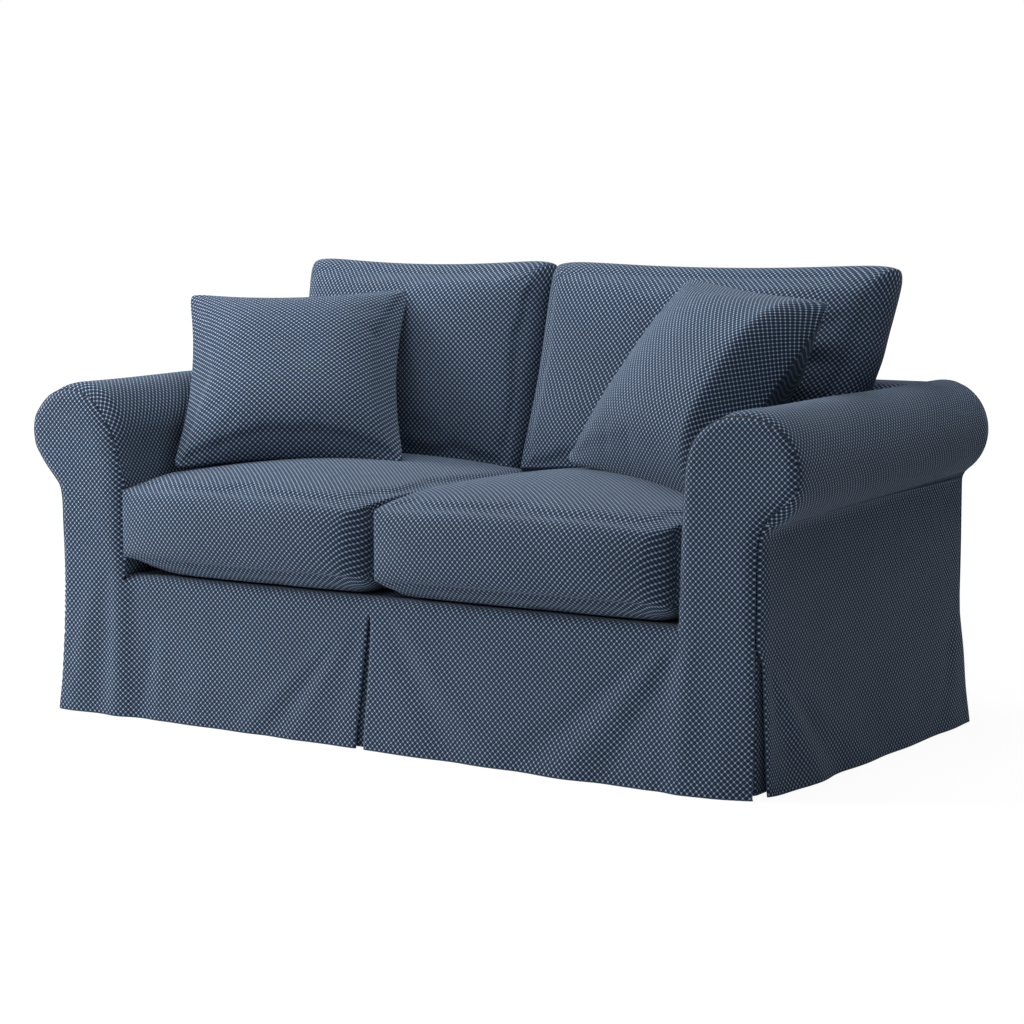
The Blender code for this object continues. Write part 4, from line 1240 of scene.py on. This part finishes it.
def fit(piece, slot, *nodes):
    """The piece rides on the body and stands for CAD nodes. Its slot is not used."""
    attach(piece, "root")
    if nodes:
        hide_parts(*nodes)
    return piece


class SLIPCOVER_OT_front(bpy.types.Operator):
    """Cloth of the front: both arm fronts, the seat rail and the skirt"""

    bl_idname = "slipcover.front"
    bl_label = "Front"

    def execute(self, context):
        piece = fit(front_cloth(woven(context, "cover cloth")), "cover_cloth",
                    "front_border", "arm_front_left", "arm_front_right")
        return {"FINISHED"}


class SLIPCOVER_OT_arms(bpy.types.Operator):
    """Cloth over each arm, the outside of each arm and the piping round each arm front"""

    bl_idname = "slipcover.arms"
    bl_label = "Arms"

    def execute(self, context):
        cloth = woven(context, "cover cloth")
        # The piping cloth is darker than the cover: partly its own navy, partly painted shade of the
        # seam's crease.
        cord = cord_cloth_with_painted_shade("piping cloth with painted shade", context.scene.slipcover_colours.cord)
        for word in ("left", "right"):
            arm = fit(arm_cloth(word, cloth), "cover_cloth", "arm_panel_" + word)
            side = fit(outside_arm(word, cloth), "cover_cloth", "outside_arm_" + word)
            fit(seam_piping(word, cord), "piping_cloth", "welt_" + word)
        return {"FINISHED"}


class SLIPCOVER_OT_back(bpy.types.Operator):
    """Cloth of the inside and the outside of the back, and the seat deck"""

    bl_idname = "slipcover.back"
    bl_label = "Back and deck"

    def execute(self, context):
        cloth = woven(context, "cover cloth")
        inside = fit(inside_back(cloth), "cover_cloth", "inside_back")
        outside = fit(outside_back(cloth), "cover_cloth", "outside_back")
        deck = fit(seat_deck(cloth), "cover_cloth", "deck")
        return {"FINISHED"}


class SLIPCOVER_OT_pleats(bpy.types.Operator):
    """Cloth folded behind the slits: one in the middle of the front and one at each corner"""

    bl_idname = "slipcover.pleats"
    bl_label = "Pleats"

    def execute(self, context):
        cloth = woven(context, "cover cloth")
        middle = fit(centre_pleat(cloth), "cover_cloth", "pleat_centre")
        for end in ("front", "back"):
            for word in ("left", "right"):
                name = f"pleat_{end}_{word}"
                piece = fit(corner_pleat(word, end, cloth), "cover_cloth", name)
        return {"FINISHED"}


class SLIPCOVER_OT_seat_cushions(bpy.types.Operator):
    """Two seat cushions, filled by a short cloth simulation"""

    bl_idname = "slipcover.seat_cushions"
    bl_label = "Seat cushions"

    def execute(self, context):
        sizes = context.scene.slipcover_sizes
        for name, x_left, x_right, square in SEAT_CUSHIONS:
            shape = seat_shape(x_left, x_right, square)
            patches = cushion_patches(shape, ((52, 0.7), (56, 0.7), (14, 0.4)))
            piece = cushion(name, patches, context, sizes.seat_fill)
            fit(piece, "cushion_cloth", name)
        return {"FINISHED"}


class SLIPCOVER_OT_back_cushions(bpy.types.Operator):
    """Two back cushions, filled by a short cloth simulation"""

    bl_idname = "slipcover.back_cushions"
    bl_label = "Back cushions"

    def execute(self, context):
        sizes = context.scene.slipcover_sizes
        for name, forward, rear_crown, ears, power, edges in BACK_CUSHIONS:
            shape = back_shape(forward, rear_crown, ears, power, edges, CREASES[name])
            patches = cushion_patches(shape, ((56, 0.7), (40, 0.7), (14, 1.0)), 1.0)
            piece = cushion(name, patches, context, sizes.back_fill)
            fit(piece, "cushion_cloth", name)
        return {"FINISHED"}


class SLIPCOVER_OT_pillows(bpy.types.Operator):
    """Two throw pillows, filled by a short cloth simulation"""

    bl_idname = "slipcover.pillows"
    bl_label = "Throw pillows"

    def execute(self, context):
        sizes = context.scene.slipcover_sizes
        for name, middle, angles, side, draw, crowns, crest, power in PILLOWS:
            shape = pillow_shape(middle, angles, side, draw, crowns, crest, power, CREASES[name])
            patches = cushion_patches(shape, ((52, 0.7), (52, 0.7), (3, 0.0)))
            piece = cushion(name, patches, context, sizes.pillow_fill)
            fit(piece, "cushion_cloth", name)
        return {"FINISHED"}


class SLIPCOVER_OT_stage(bpy.types.Operator):
    """Floor, soft lights, white surroundings and the camera"""

    bl_idname = "slipcover.stage"
    bl_label = "Stage"

    def execute(self, context):
        floor(floor_paint(context.scene.slipcover_colours.floor, *FLOOR_GLOW))
        lamps()
        studio_world(seen=1.0, cast=0.0)
        camera()
        context.scene.view_settings.view_transform = "Standard"
        return {"FINISHED"}


STEPS = (
    SLIPCOVER_OT_front, SLIPCOVER_OT_arms, SLIPCOVER_OT_back, SLIPCOVER_OT_pleats,
    SLIPCOVER_OT_seat_cushions, SLIPCOVER_OT_back_cushions, SLIPCOVER_OT_pillows,
    SLIPCOVER_OT_stage)


class SLIPCOVER_PT_panel(bpy.types.Panel):
    """Lists the sizes, the colours and every step of the slipcover"""

    bl_idname = "SLIPCOVER_PT_panel"
    bl_label = "Slipcover"
    bl_space_type = "VIEW_3D"
    bl_region_type = "UI"
    bl_category = "Slipcover"

    def draw(self, context):
        column = self.layout.column()
        for group in (context.scene.slipcover_sizes, context.scene.slipcover_colours):
            for name in group.__annotations__:
                column.prop(group, name)
        for step in STEPS:
            column.operator(step.bl_idname)


CLASSES = (SlipcoverSizes, SlipcoverColours, *STEPS, SLIPCOVER_PT_panel)


def register():
    """Make the panel, its steps and their settings known to Blender."""
    for kind in CLASSES:
        bpy.utils.register_class(kind)
    bpy.types.Scene.slipcover_sizes = bpy.props.PointerProperty(type=SlipcoverSizes)
    bpy.types.Scene.slipcover_colours = bpy.props.PointerProperty(type=SlipcoverColours)


def unregister():
    """Take them out again, in the opposite order."""
    del bpy.types.Scene.slipcover_colours
    del bpy.types.Scene.slipcover_sizes
    for kind in reversed(CLASSES):
        bpy.utils.unregister_class(kind)


def main():
    """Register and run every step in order."""
    register()
    for step in STEPS:
        group, name = step.bl_idname.split(".")
        getattr(getattr(bpy.ops, group), name)()


if __name__ == "__main__":
    main()
